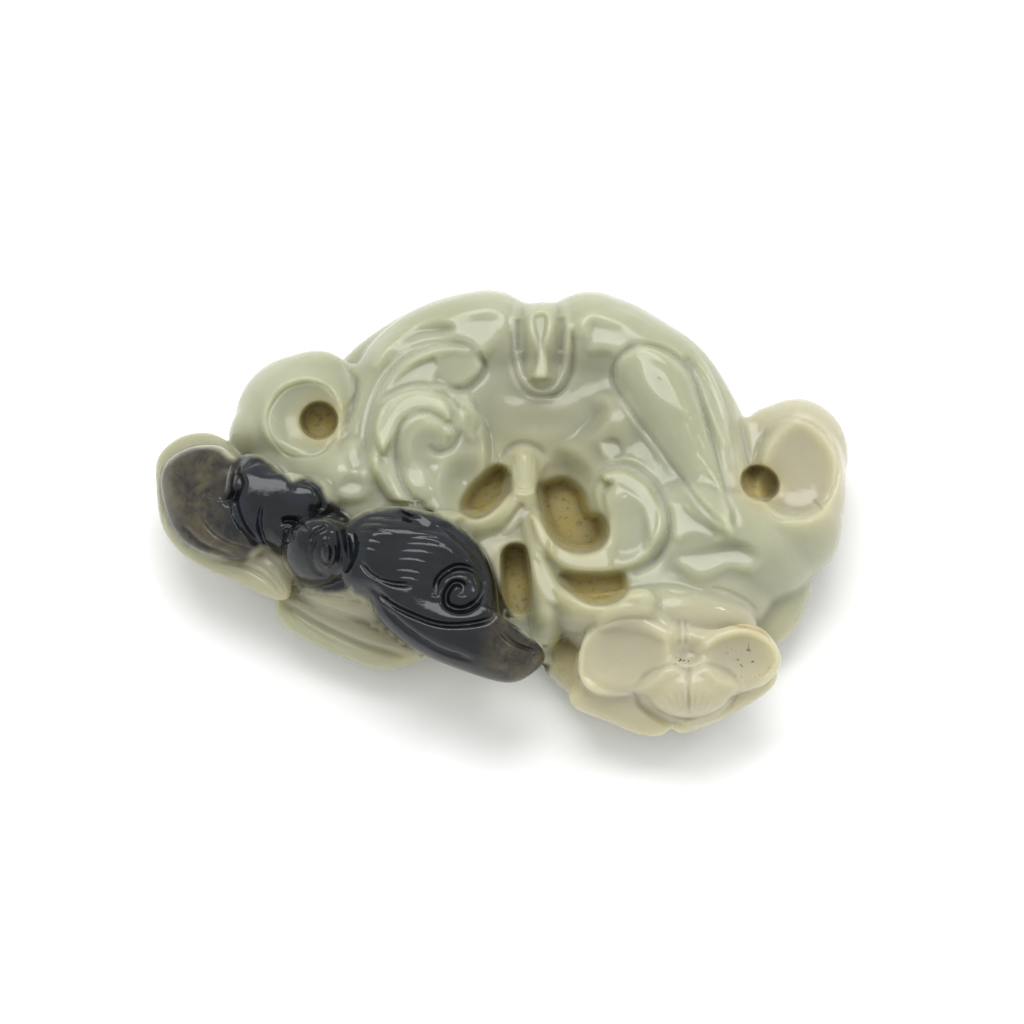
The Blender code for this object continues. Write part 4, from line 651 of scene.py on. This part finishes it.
def gather(masses, ground=None):
    """One mesh of several masses, on the ground's where there is one."""
    bm = bmesh.new()
    for mass in masses:
        mass(bm)
    bmesh.ops.recalc_face_normals(bm, faces=bm.faces)
    if ground:
        bm.from_mesh(ground)
        bpy.data.meshes.remove(ground)
    mesh = bpy.data.meshes.new("jade carving")
    bm.to_mesh(mesh)
    bm.free()
    return mesh


def carve(grain):
    """The carving with its bold cuts, in hundredths of its length."""
    pebble = remesh(gather((core, humps, scrolls, cups)), grain * 1.5, 4.0)
    mesh = gather((stems, bat, leaves, skirt, flower), pebble)
    mesh = underside(remesh(mesh, grain, 1.0))
    skin = Skin(mesh)
    for relief in (bowl, scroll_relief, middle_relief, petal_relief, polish, hollows):
        relief(skin)
    skin.done()
    skin = Skin(mesh)
    pockets(skin)
    drilled(skin)
    mesh = remesh(skin.done(), grain, 0.4)
    skin = Skin(mesh)
    for lines in BOLD:
        lines(skin)
    return skin.done()


def fine_bat_lines(skin):
    """The hair strokes and thin folds of the wings."""
    cut = skin.groove
    cut([(-37.3, 6.1), (-34.7, 7.2), (-32.1, 6.4), (-29.8, 4.0)], 0.3, 0.4)
    cut([(-43.6, 0.0), (-41.9, -2.6), (-39.0, -4.5), (-35.3, -5.5)], 0.3, 0.4)
    cut([(-45.8, -1.9), (-42.9, -4.5), (-38.6, -6.2)], 0.3, 0.4)
    cut([(-38.9, 1.7), (-38.4, -0.7), (-37.3, -2.6)], 0.25, 0.3)
    cut([(-34.1, 1.7), (-34.7, -1.2), (-34.1, -4.0), (-32.9, -5.2)], 0.3, 0.4)
    cut([(-42.9, 2.5), (-41.6, 1.7), (-40.2, 1.3)], 0.4, -0.4)
    cut([(-27.5, -4.2), (-26.6, -3.0), (-24.9, -2.0)], 0.3, 0.5)
    cut([(-23.4, -2.7), (-23.0, -4.8), (-23.1, -7.2)], 0.25, 0.4)
    cut([(-21.2, -3.0), (-21.0, -5.2), (-21.7, -7.8)], 0.25, 0.3)
    strokes = ((-19.7, -0.7, 6.0), (-20.1, -1.6, 5.4), (-20.5, -2.6, 5.0), (-21.0, -3.8, 4.2),
        (-21.2, -4.9, 3.6), (-12.7, -2.6, 4.6), (-13.3, -3.5, 5.4), (-13.9, -4.3, 5.6),
        (-14.5, -5.3, 5.2), (-14.9, -6.5, 4.4), (-15.3, -8.1, 4.0), (-15.0, -9.2, 3.4))
    for x, y, run in strokes:
        cut([(x, y), (x + run / 2, y), (x + run, y - 0.5)], 0.17, 0.16, taper=0.4)
    cut([(-14.7, -0.3), (-9.0, -1.7), (-4.6, -5.2), (-2.2, -9.5), (-1.9, -12.7)], 0.5, 0.35)
    cut([(-9.0, -11.3), (-8.1, -9.8), (-6.4, -9.0), (-4.6, -9.5), (-4.0, -11.3)], 0.25, 0.3)
    cut([(-0.9, -15.9), (0.1, -17.6), (2.0, -18.9), (4.6, -19.7)], 0.25, 0.3)


def fine_leaf_lines(skin):
    cut = skin.groove
    cut([(-30.9, -11.6), (-33.2, -8.7), (-35.3, -7.2)], 0.25, 0.3)
    cut([(-30.3, -11.0), (-26.3, -11.8), (-22.0, -12.4), (-18.8, -13.3)], 0.25, 0.3)
    cut([(-31.2, -13.3), (-29.2, -15.6), (-25.6, -17.9), (-22.0, -19.7)], 0.3, 0.35)
    cut([(-39.3, -9.1), (-36.4, -10.4), (-33.2, -11.8)], 0.25, 0.3)


def fine_flower_lines(skin):
    """Rays on the domed pair, and the thin edges of the petals."""
    cut = skin.groove
    for share in np.linspace(-1, 1, 11):
        outer = (26.6 + 5.4 * share, -27.3 + 2.2 * (1 - share ** 2))
        bend = (26.7 + 3.2 * share, -28.6 + 0.6 * (1 - share ** 2))
        cut([outer, bend, (26.7, -29.8)], 0.2, 0.24, taper=0.3)
    cut([(25.3, -15.3), (25.4, -17.3), (25.4, -19.2)], 0.25, 0.35)
    cut([(26.2, -15.3), (26.3, -17.3), (26.2, -19.2)], 0.25, 0.35)
    cut([(24.3, -16.8), (21.4, -15.3), (17.1, -15.2), (13.6, -16.5)], 0.3, 0.3)


def fine_stem_lines(skin):
    cut = skin.groove
    for top, foot in ((1.6, 2.2), (2.2, 2.5), (2.7, 2.9), (3.3, 3.3), (3.9, 3.8), (4.5, 4.2)):
        cut([(top, 8.1), ((top + foot) / 2, 6.5), (foot, 4.5)], 0.22, 0.3, taper=0.3)
    cut([(1.9, 3.6), (3.2, 3.3), (4.5, 3.6)], 0.22, 0.3)
    cut([(1.9, 3.0), (3.2, 2.7), (4.5, 3.0)], 0.22, 0.25)


def fine_cup_lines(skin):
    """The incised rings in the cups and the thin lines beside the scrolls."""
    cut = skin.groove
    cut([(-24.1, 10.4), (-26.6, 8.2), (-30.6, 8.1), (-33.2, 10.7), (-33.7, 14.0), (-31.8, 17.2),
        (-28.8, 18.6), (-25.7, 18.2), (-23.8, 16.2)], 0.22, 0.35, taper=0.05)
    cut([(-21.0, 19.7), (-21.1, 17.3), (-22.0, 15.6), (-23.0, 14.0)], 0.22, 0.35)
    cut([(37.6, 10.4), (38.4, 12.6), (41.6, 13.7), (45.2, 12.4), (47.7, 9.5), (48.4, 6.1), (47.5, 2.9),
        (45.7, 0.7), (42.8, -0.7), (39.9, -1.0), (37.9, 0.0)], 0.3, 0.4, taper=0.05)
    cut([(-3.3, 23.4), (-2.5, 21.7), (-3.5, 19.7), (-5.5, 18.5)], 0.25, 0.35)
    cut([(29.3, 22.0), (31.8, 16.5), (33.2, 10.4), (34.1, 4.6)], 0.25, 0.25)
    cut([(23.6, -11.3), (25.7, -11.8), (27.5, -11.6)], 0.3, 0.35)
    cut([(29.8, -10.7), (32.2, -11.3), (35.1, -12.7), (36.8, -14.5)], 0.3, 0.35)
    cut([(44.8, 1.7), (45.5, 0.9), (46.1, 0.1)], 0.25, 0.5)


BOLD = (scroll_lines, tongue_lines, flower_lines, bat_lines, leaf_lines)
FINE = (fine_bat_lines, fine_leaf_lines, fine_flower_lines, fine_stem_lines, fine_cup_lines)


def fewer(mesh, count):
    """The same form in about count triangles."""
    holder = bpy.data.objects.new("dense", mesh)
    bpy.context.scene.collection.objects.link(holder)
    mesh.calc_loop_triangles()
    thin = holder.modifiers.new("thin", "DECIMATE")
    thin.ratio = count / len(mesh.loop_triangles)
    thin.use_collapse_triangulate = True
    evaluated = holder.evaluated_get(bpy.context.evaluated_depsgraph_get())
    result = bpy.data.meshes.new_from_object(evaluated)
    bpy.data.objects.remove(holder)
    bpy.data.meshes.remove(mesh)
    return result


class Marks(Skin):
    """Lays the cuts on as a mark between 0 and 1, and moves nothing."""

    def __init__(self, mesh):
        super().__init__(mesh, slack=5.0)
        self.mark = np.zeros(len(self.co))

    def press(self, pick, depth):
        self.mark[pick] = np.maximum(self.mark[pick], np.clip(depth * 2.2, 0, 1) * self.shows[pick])


def line_marks(mesh):
    """Where the incised lines run."""
    marks = Marks(mesh)
    for lines in BOLD + FINE:
        lines(marks)
    return marks.mark


def spread(skin, outlines, edge):
    """How much of each point lies inside any of the outlines."""
    amount = np.zeros(len(skin.co))
    for outline in outlines:
        pick, share = skin.inside(outline, edge)
        amount[pick] = np.maximum(amount[pick], share * skin.shows[pick])
    return amount


def dark_marks(skin):
    """The dark skin of the stone, which the carver kept for the bat."""
    left = [(-49.3, 3.2), (-48.6, 6.6), (-45.5, 9.0), (-41.5, 9.2), (-38.6, 7.5), (-37.1, 8.4),
        (-34.4, 7.7), (-31.8, 5.8), (-29.9, 4.6), (-28.3, 5.1), (-26.2, 4.0), (-24.9, 1.7), (-23.7, -0.7),
        (-26.6, -4.8), (-31.4, -6.6), (-34.1, -5.1), (-35.8, -5.8), (-36.8, -7.2), (-39.5, -6.9),
        (-44.7, -5.1), (-47.8, -1.9)]
    head = [(-31.6, 1.0), (-29.2, 2.3), (-25.1, 1.7), (-22.0, -0.3), (-20.2, -4.8), (-19.7, -9.1),
        (-21.7, -11.0), (-24.1, -11.6), (-26.9, -11.3), (-29.2, -10.0), (-30.9, -7.8), (-32.1, -4.8)]
    right = [(-23.0, -2.6), (-21.2, -0.9), (-17.9, 0.4), (-14.5, 0.7), (-10.1, 0.0), (-6.4, -1.9),
        (-3.5, -4.3), (-1.4, -7.4), (0.0, -10.7), (1.3, -14.6), (3.3, -17.1), (5.6, -18.8), (7.4, -20.2),
        (6.5, -23.1), (3.6, -24.9), (0.9, -25.3), (-3.5, -24.4), (-7.9, -22.7), (-13.0, -19.8),
        (-16.8, -16.8), (-18.4, -14.2), (-19.4, -12.3), (-21.7, -10.7)]
    return spread(skin, (left, head, right), 2.2)


def mottle_marks(skin):
    """The brown-grey part of the dark skin: the left wing's end and the right wing's tip."""
    left = [(-50.9, 1.7), (-49.4, 10.4), (-40.8, 10.4), (-37.9, 6.1), (-41.5, 1.7), (-36.4, -6.9),
        (-45.1, -7.7)]
    tip = [(0.4, -12.7), (1.9, -17.3), (7.7, -19.2), (8.4, -25.7), (-0.3, -25.7), (-2.0, -21.4)]
    return spread(skin, (left, tip), 5.0)


def earth_marks(skin):
    """Brown earth in the pockets, the drilled holes and under the leaves."""
    holes = [[(x + r * math.cos(a),
        y + r * math.sin(a)) for a in np.linspace(0, 2 * math.pi, 9)[:-1]] for x, y, r in ((-26.4, 13.2,
        DRILL), (37.1, 4.2, DRILL))]
    gap = [(6.6, -18.8), (8.7, -17.9), (10.7, -19.2), (10.8, -25.7), (8.7, -24.3), (6.8, -21.7)]
    amount = spread(skin, [pocket[0] for pocket in POCKETS] + holes, 1.0)
    return np.maximum(amount, 0.45 * spread(skin, [gap], 1.0))


def stain_marks(skin):
    """The yellow tinge that spreads from the pockets and the holes into the stone."""
    holes = [[(x + r * math.cos(a),
        y + r * math.sin(a)) for a in np.linspace(0, 2 * math.pi, 9)[:-1]] for x, y,
        r in ((-26.4, 13.2, 3.4), (37.1, 4.2, 3.2))]
    middle = [(-3.5, 8.7), (-0.3, 11.0), (5.5, 11.3), (11.3, 9.0), (14.2, 1.7), (17.8, -11.3),
        (11.3, -14.2), (-0.3, -14.2), (-3.2, -1.2)]
    return np.maximum(spread(skin, [pocket[0] for pocket in POCKETS] + holes, 5.0), 0.45 * spread(skin,
        [middle], 8.0))


def warm_marks(skin):
    """The yellower jade of the cups, the flower and the leaves' inner ends."""
    cup = [(35.1, 16.2), (53.2, 16.9), (55.3, 1.7), (43.1, -1.9), (35.1, 1.7)]
    flower_side = [(8.4, -17.1), (19.9, -13.4), (31.5, -12.0), (40.2, -15.6), (43.1, -25.7),
        (41.6, -31.5), (22.8, -34.4), (8.4, -31.5)]
    near = [(-38.2, -6.9), (-34.7, -4.8), (-31.4, -6.4), (-29.2, -11.3), (-22.0, -11.3), (-16.9, -14.2),
        (-11.8, -20.7), (-17.6, -19.9), (-29.2, -14.2), (-35.0, -11.3)]
    return np.maximum(0.8 * spread(skin, [cup, flower_side], 10.0), 0.8 * spread(skin, [near], 4.0))


def grey_tint_marks(skin):
    """A greyer, darker tint round the bat and at the left end, and a fainter one over the middle."""
    left = [(-52.3, 1.7), (-50.9, 10.4), (-43.6, 13.3), (-39.0, 10.4), (-34.7, 9.5), (-29.2, 6.1),
        (-22.7, 1.7), (-14.7, 1.7), (-9.0, 0.0), (-4.6, -3.3), (-9.0, -12.7), (-14.7, -21.4),
        (-23.4, -19.9), (-32.1, -14.2), (-40.8, -11.3), (-49.4, -4.0)]
    centre = [(-1.7, 23.4), (2.0, 26.3), (9.8, 26.3), (14.2, 22.0), (19.9, 13.3), (19.9, 6.1),
        (14.2, 4.6), (8.4, 10.4), (0.4, 10.4), (-3.2, 10.4), (-3.5, 17.6)]
    return np.maximum(0.7 * spread(skin, [left], 9.0), 0.45 * spread(skin, [centre], 6.0))


def crack_marks(mesh):
    """A rusty flaw along the right petal's edge."""
    marks = Marks(mesh)
    marks.groove([(32.1, -15.9), (33.8, -16.3), (35.5, -16.6), (37.0, -17.1), (38.0, -17.8),
        (38.3, -18.6)], 0.16, 0.45, taper=0.3)
    return marks.mark


def pit_marks(skin):
    """Where the flower is peppered with small dark pits."""
    around = [(31.8, -19.9), (35.1, -18.9), (37.9, -20.8), (37.0, -23.1), (33.8, -23.4)]
    middle = [(24.0, -20.8), (25.7, -20.1), (27.5, -20.8), (26.9, -22.5), (24.9, -22.4)]
    return np.maximum(0.7 * spread(skin, [around], 3.0), spread(skin, [middle], 2.0))


def paint(mesh, name, red, green, blue):
    layer = mesh.color_attributes.new(name, "FLOAT_COLOR", "POINT")
    values = np.column_stack([red, green, blue, np.ones(len(red))])
    layer.data.foreach_set("color", values.astype(np.float32).ravel())


def worked_stone():
    """The fine surface in place of the solid, with its marks."""
    mesh = carve(GRAIN / UNIT)
    skin = Skin(mesh, slack=4.0)
    for lines in FINE:
        lines(skin)
    mesh = fewer(skin.done(), TRIANGLES)
    skin = Skin(mesh, slack=10.0)
    paint(mesh, "stone", dark_marks(skin), mottle_marks(skin), warm_marks(skin))
    paint(mesh, "cut_highlight_and_earth", line_marks(mesh), earth_marks(skin), stain_marks(skin))
    paint(mesh, "flaw", crack_marks(mesh), pit_marks(skin), grey_tint_marks(skin))
    low, high = (np.array(corner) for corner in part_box("jade_carving"))
    co = places(mesh)
    middle = (co.min(0) + co.max(0)) / 2
    level = co[:, 2].min() + FLAT_DEPTH / UNIT
    shift = np.array((middle[0], middle[1], level)) - (*(low + high)[:2] / 2 / UNIT, 0)
    co[:, 2] = np.maximum(co[:, 2], level)
    move(mesh, np.clip((co - shift) * UNIT, low, high))
    mesh.shade_smooth()
    carving = bpy.data.objects.new("carved_jade", mesh)
    bpy.context.scene.collection.objects.link(carving)
    return carving, shift


class Graph:
    """A short way to write a material's nodes."""

    def __init__(self, name):
        self.material = bpy.data.materials.new(name)
        self.material.use_nodes = True
        self.nodes = self.material.node_tree.nodes
        self.links = self.material.node_tree.links
        self.shader = self.nodes["Principled BSDF"]

    def put(self, socket, value):
        if isinstance(value, bpy.types.NodeSocket):
            self.links.new(value, socket)
        elif isinstance(value, tuple) and socket.type == "RGBA":
            socket.default_value = (*value, 1)
        else:
            socket.default_value = value

    def marks(self, name):
        source = self.nodes.new("ShaderNodeAttribute")
        source.attribute_name = name
        parts = self.nodes.new("ShaderNodeSeparateColor")
        self.links.new(source.outputs["Color"], parts.inputs["Color"])
        return parts.outputs["Red"], parts.outputs["Green"], parts.outputs["Blue"]

    def noise(self, size, detail=4, rough=0.55, twist=0.0, spot=(1, 1, 1)):
        """Noise whose lumps are about size across, in metres."""
        place = self.nodes.new("ShaderNodeTexCoord")
        scaled = self.nodes.new("ShaderNodeMapping")
        scaled.inputs["Scale"].default_value = spot
        self.links.new(place.outputs["Object"], scaled.inputs["Vector"])
        node = self.nodes.new("ShaderNodeTexNoise")
        node.inputs["Scale"].default_value = 1 / size
        node.inputs["Detail"].default_value = detail
        node.inputs["Roughness"].default_value = rough
        node.inputs["Distortion"].default_value = twist
        self.links.new(scaled.outputs["Vector"], node.inputs["Vector"])
        return node.outputs["Fac"]

    def math(self, how, a, b=0.0):
        node = self.nodes.new("ShaderNodeMath")
        node.operation = how
        self.put(node.inputs[0], a)
        self.put(node.inputs[1], b)
        return node.outputs[0]

    def ramp(self, value, low, high, start=0.0, end=1.0):
        """Maps low..high to start..end, held at both ends."""
        node = self.nodes.new("ShaderNodeMapRange")
        node.interpolation_type = "SMOOTHSTEP"
        self.put(node.inputs["Value"], value)
        node.inputs["From Min"].default_value = low
        node.inputs["From Max"].default_value = high
        node.inputs["To Min"].default_value = start
        node.inputs["To Max"].default_value = end
        return node.outputs["Result"]

    def mix(self, share, a, b, how="MIX"):
        node = self.nodes.new("ShaderNodeMix")
        node.data_type = "RGBA"
        node.blend_type = how
        self.put(node.inputs["Factor"], share)
        self.put(node.inputs[6], a)
        self.put(node.inputs[7], b)
        return node.outputs[2]

    def bump(self, height, strength, distance, below=None):
        """Small relief in the shading, on top of another if one is given."""
        node = self.nodes.new("ShaderNodeBump")
        node.inputs["Strength"].default_value = strength
        node.inputs["Distance"].default_value = distance
        self.put(node.inputs["Height"], height)
        if below:
            self.links.new(below, node.inputs["Normal"])
        return node.outputs["Normal"]


# Linear colours of the stone
CELADON = (0.34, 0.352, 0.24)
CLOUD = (0.39, 0.40, 0.29)
WARM = (0.46, 0.425, 0.295)
INK = (0.004, 0.005, 0.006)
SLATE = (0.010, 0.014, 0.020)
UMBER = (0.030, 0.025, 0.018)
FAWN = (0.135, 0.11, 0.062)
# A greyer, darker tint of the stone
GREY_TINT = (0.25, 0.235, 0.16)
STAIN = (0.34, 0.29, 0.135)
EARTH = (0.37, 0.29, 0.085)
SOOT = (0.06, 0.045, 0.02)
RUST = (0.33, 0.22, 0.08)
# Pale of the unpolished cuts, lifted towards white as a painted highlight on their edges
PALE_CUT_PAINTED_HIGHLIGHT = (0.62, 0.62, 0.52)


def jade_material():
    g = Graph("jade")
    dark, mottle, warm = g.marks("stone")
    line, earth, stain = g.marks("cut_highlight_and_earth")
    crack, pits, grey_tint = g.marks("flaw")
    clouds = g.ramp(g.noise(0.016, 5, 0.55, 0.6), 0.35, 0.7)
    pale = g.mix(clouds, CELADON, CLOUD)
    pale = g.mix(g.math("MULTIPLY", warm, g.ramp(g.noise(0.02, 3), 0.2, 0.6, 0.5, 1.0)), pale, WARM)
    # Greyer, darker tint round the bat, at the left end and faintly over the middle
    pale = g.mix(g.math("MULTIPLY", grey_tint, 0.8), pale, GREY_TINT)
    pale = g.mix(g.math("MULTIPLY", stain, 0.75), pale, STAIN)
    # The incised lines are lightened: partly the paler unpolished cut, partly a painted highlight where
    # their edges catch the light
    pale = g.mix(g.math("MULTIPLY", line, 0.2), pale, PALE_CUT_PAINTED_HIGHLIGHT)
    veil = g.ramp(g.noise(0.006, 6, 0.6, 0.8, (1, 1.6, 1)), 0.38, 0.72)
    inky = g.mix(veil, INK, SLATE)
    flecks = g.ramp(g.noise(0.003, 6, 0.65, 0.5), 0.28, 0.68)
    inky = g.mix(g.math("MULTIPLY", mottle, flecks), inky, g.mix(g.noise(0.004, 3), UMBER, FAWN))
    ragged = g.math("ADD", dark, g.ramp(g.noise(0.0018, 4), 0.3, 0.7, -0.10, 0.10))
    darkness = g.ramp(ragged, 0.15, 0.9)
    colour = g.mix(darkness, pale, inky)
    grime = g.ramp(g.noise(0.0012, 5, 0.6), 0.3, 0.65, 0.45, 1.0)
    colour = g.mix(g.math("MULTIPLY", earth, grime), colour, EARTH)
    specks = g.ramp(g.noise(0.0007, 6, 0.75), 0.52, 0.72, 0.0, 0.85)
    colour = g.mix(g.math("MULTIPLY", specks, earth), colour, SOOT)
    dots = g.ramp(g.noise(0.00035, 1, 0.4), 0.66, 0.70)
    colour = g.mix(g.math("MULTIPLY", dots, pits), colour, SOOT)
    colour = g.mix(g.math("MULTIPLY", crack, g.ramp(g.noise(0.0016, 3), 0.3, 0.6, 0.3, 1.0)), colour, RUST)
    g.put(g.shader.inputs["Base Color"], colour)
    gloss = g.ramp(g.noise(0.0035, 6, 0.65), 0.3, 0.75, 0.07, 0.22)
    gloss = g.math("ADD", gloss, g.math("MULTIPLY", earth, 0.55))
    g.put(g.shader.inputs["Roughness"], g.math("ADD", gloss, g.math("MULTIPLY", line, 0.12)))
    g.put(g.shader.inputs["Subsurface Weight"], g.ramp(darkness, 0.0, 1.0, 1.0, 0.1))
    g.shader.inputs["Subsurface Radius"].default_value = (1.0, 0.95, 0.65)
    g.shader.inputs["Subsurface Scale"].default_value = 0.0045
    g.shader.inputs["IOR"].default_value = 1.61
    g.shader.inputs["Specular IOR Level"].default_value = 0.28
    waves = g.bump(g.noise(0.0042, 3, 0.5), 0.35, 0.0005)
    scuffs = g.bump(g.noise(0.0006, 4, 0.6), 0.3, 0.00005, waves)
    g.links.new(scuffs, g.shader.inputs["Normal"])
    return g.material


def paper_material():
    g = Graph("white paper")
    g.put(g.shader.inputs["Base Color"], g.mix(g.noise(0.0009, 3), (0.93, 0.93, 0.93), (0.95, 0.95, 0.945)))
    g.shader.inputs["Roughness"].default_value = 0.9
    return g.material


def studio(aim):
    """A white table, a large soft light overhead, a small one beside it, and the camera."""
    scene = bpy.context.scene
    bpy.ops.mesh.primitive_plane_add(size=TABLE)
    table = bpy.context.object
    table.name = "table"
    table.data.materials.append(paper_material())
    for name, place, size, depth, power in LIGHTS:
        light = bpy.data.lights.new(name, "AREA")
        light.shape = "RECTANGLE"
        light.size = size
        light.size_y = depth
        light.energy = power
        lamp = bpy.data.objects.new(name, light)
        lamp.location = place
        lamp.rotation_euler = (Vector(aim) - Vector(place)).to_track_quat("-Z", "Y").to_euler()
        scene.collection.objects.link(lamp)
    world = bpy.data.worlds.new("studio")
    world.use_nodes = True
    world.node_tree.nodes["Background"].inputs["Color"].default_value = (1, 1, 1, 1)
    world.node_tree.nodes["Background"].inputs["Strength"].default_value = SURROUND
    scene.world = world
    camera = bpy.data.objects.new("camera", bpy.data.cameras.new("camera"))
    camera.data.sensor_width = SENSOR
    camera.data.lens = SENSOR * CAMERA_AWAY / VIEW_WIDTH
    camera.data.clip_start = 0.05
    towards = Vector(TOWARDS)
    camera.location = Vector(aim) + towards * CAMERA_AWAY
    camera.rotation_euler = (-towards).to_track_quat("-Z", "Y").to_euler()
    scene.collection.objects.link(camera)
    scene.camera = camera
    scene.view_settings.view_transform = "Standard"


carving, shift = worked_stone()
carving.data.materials.append(jade_material())
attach(carving, "root")
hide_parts("jade_carving")
aim = (np.array((AIM[0], AIM[1], 0)) + TOWARDS * AIM[2] - shift) * UNIT
studio(aim)
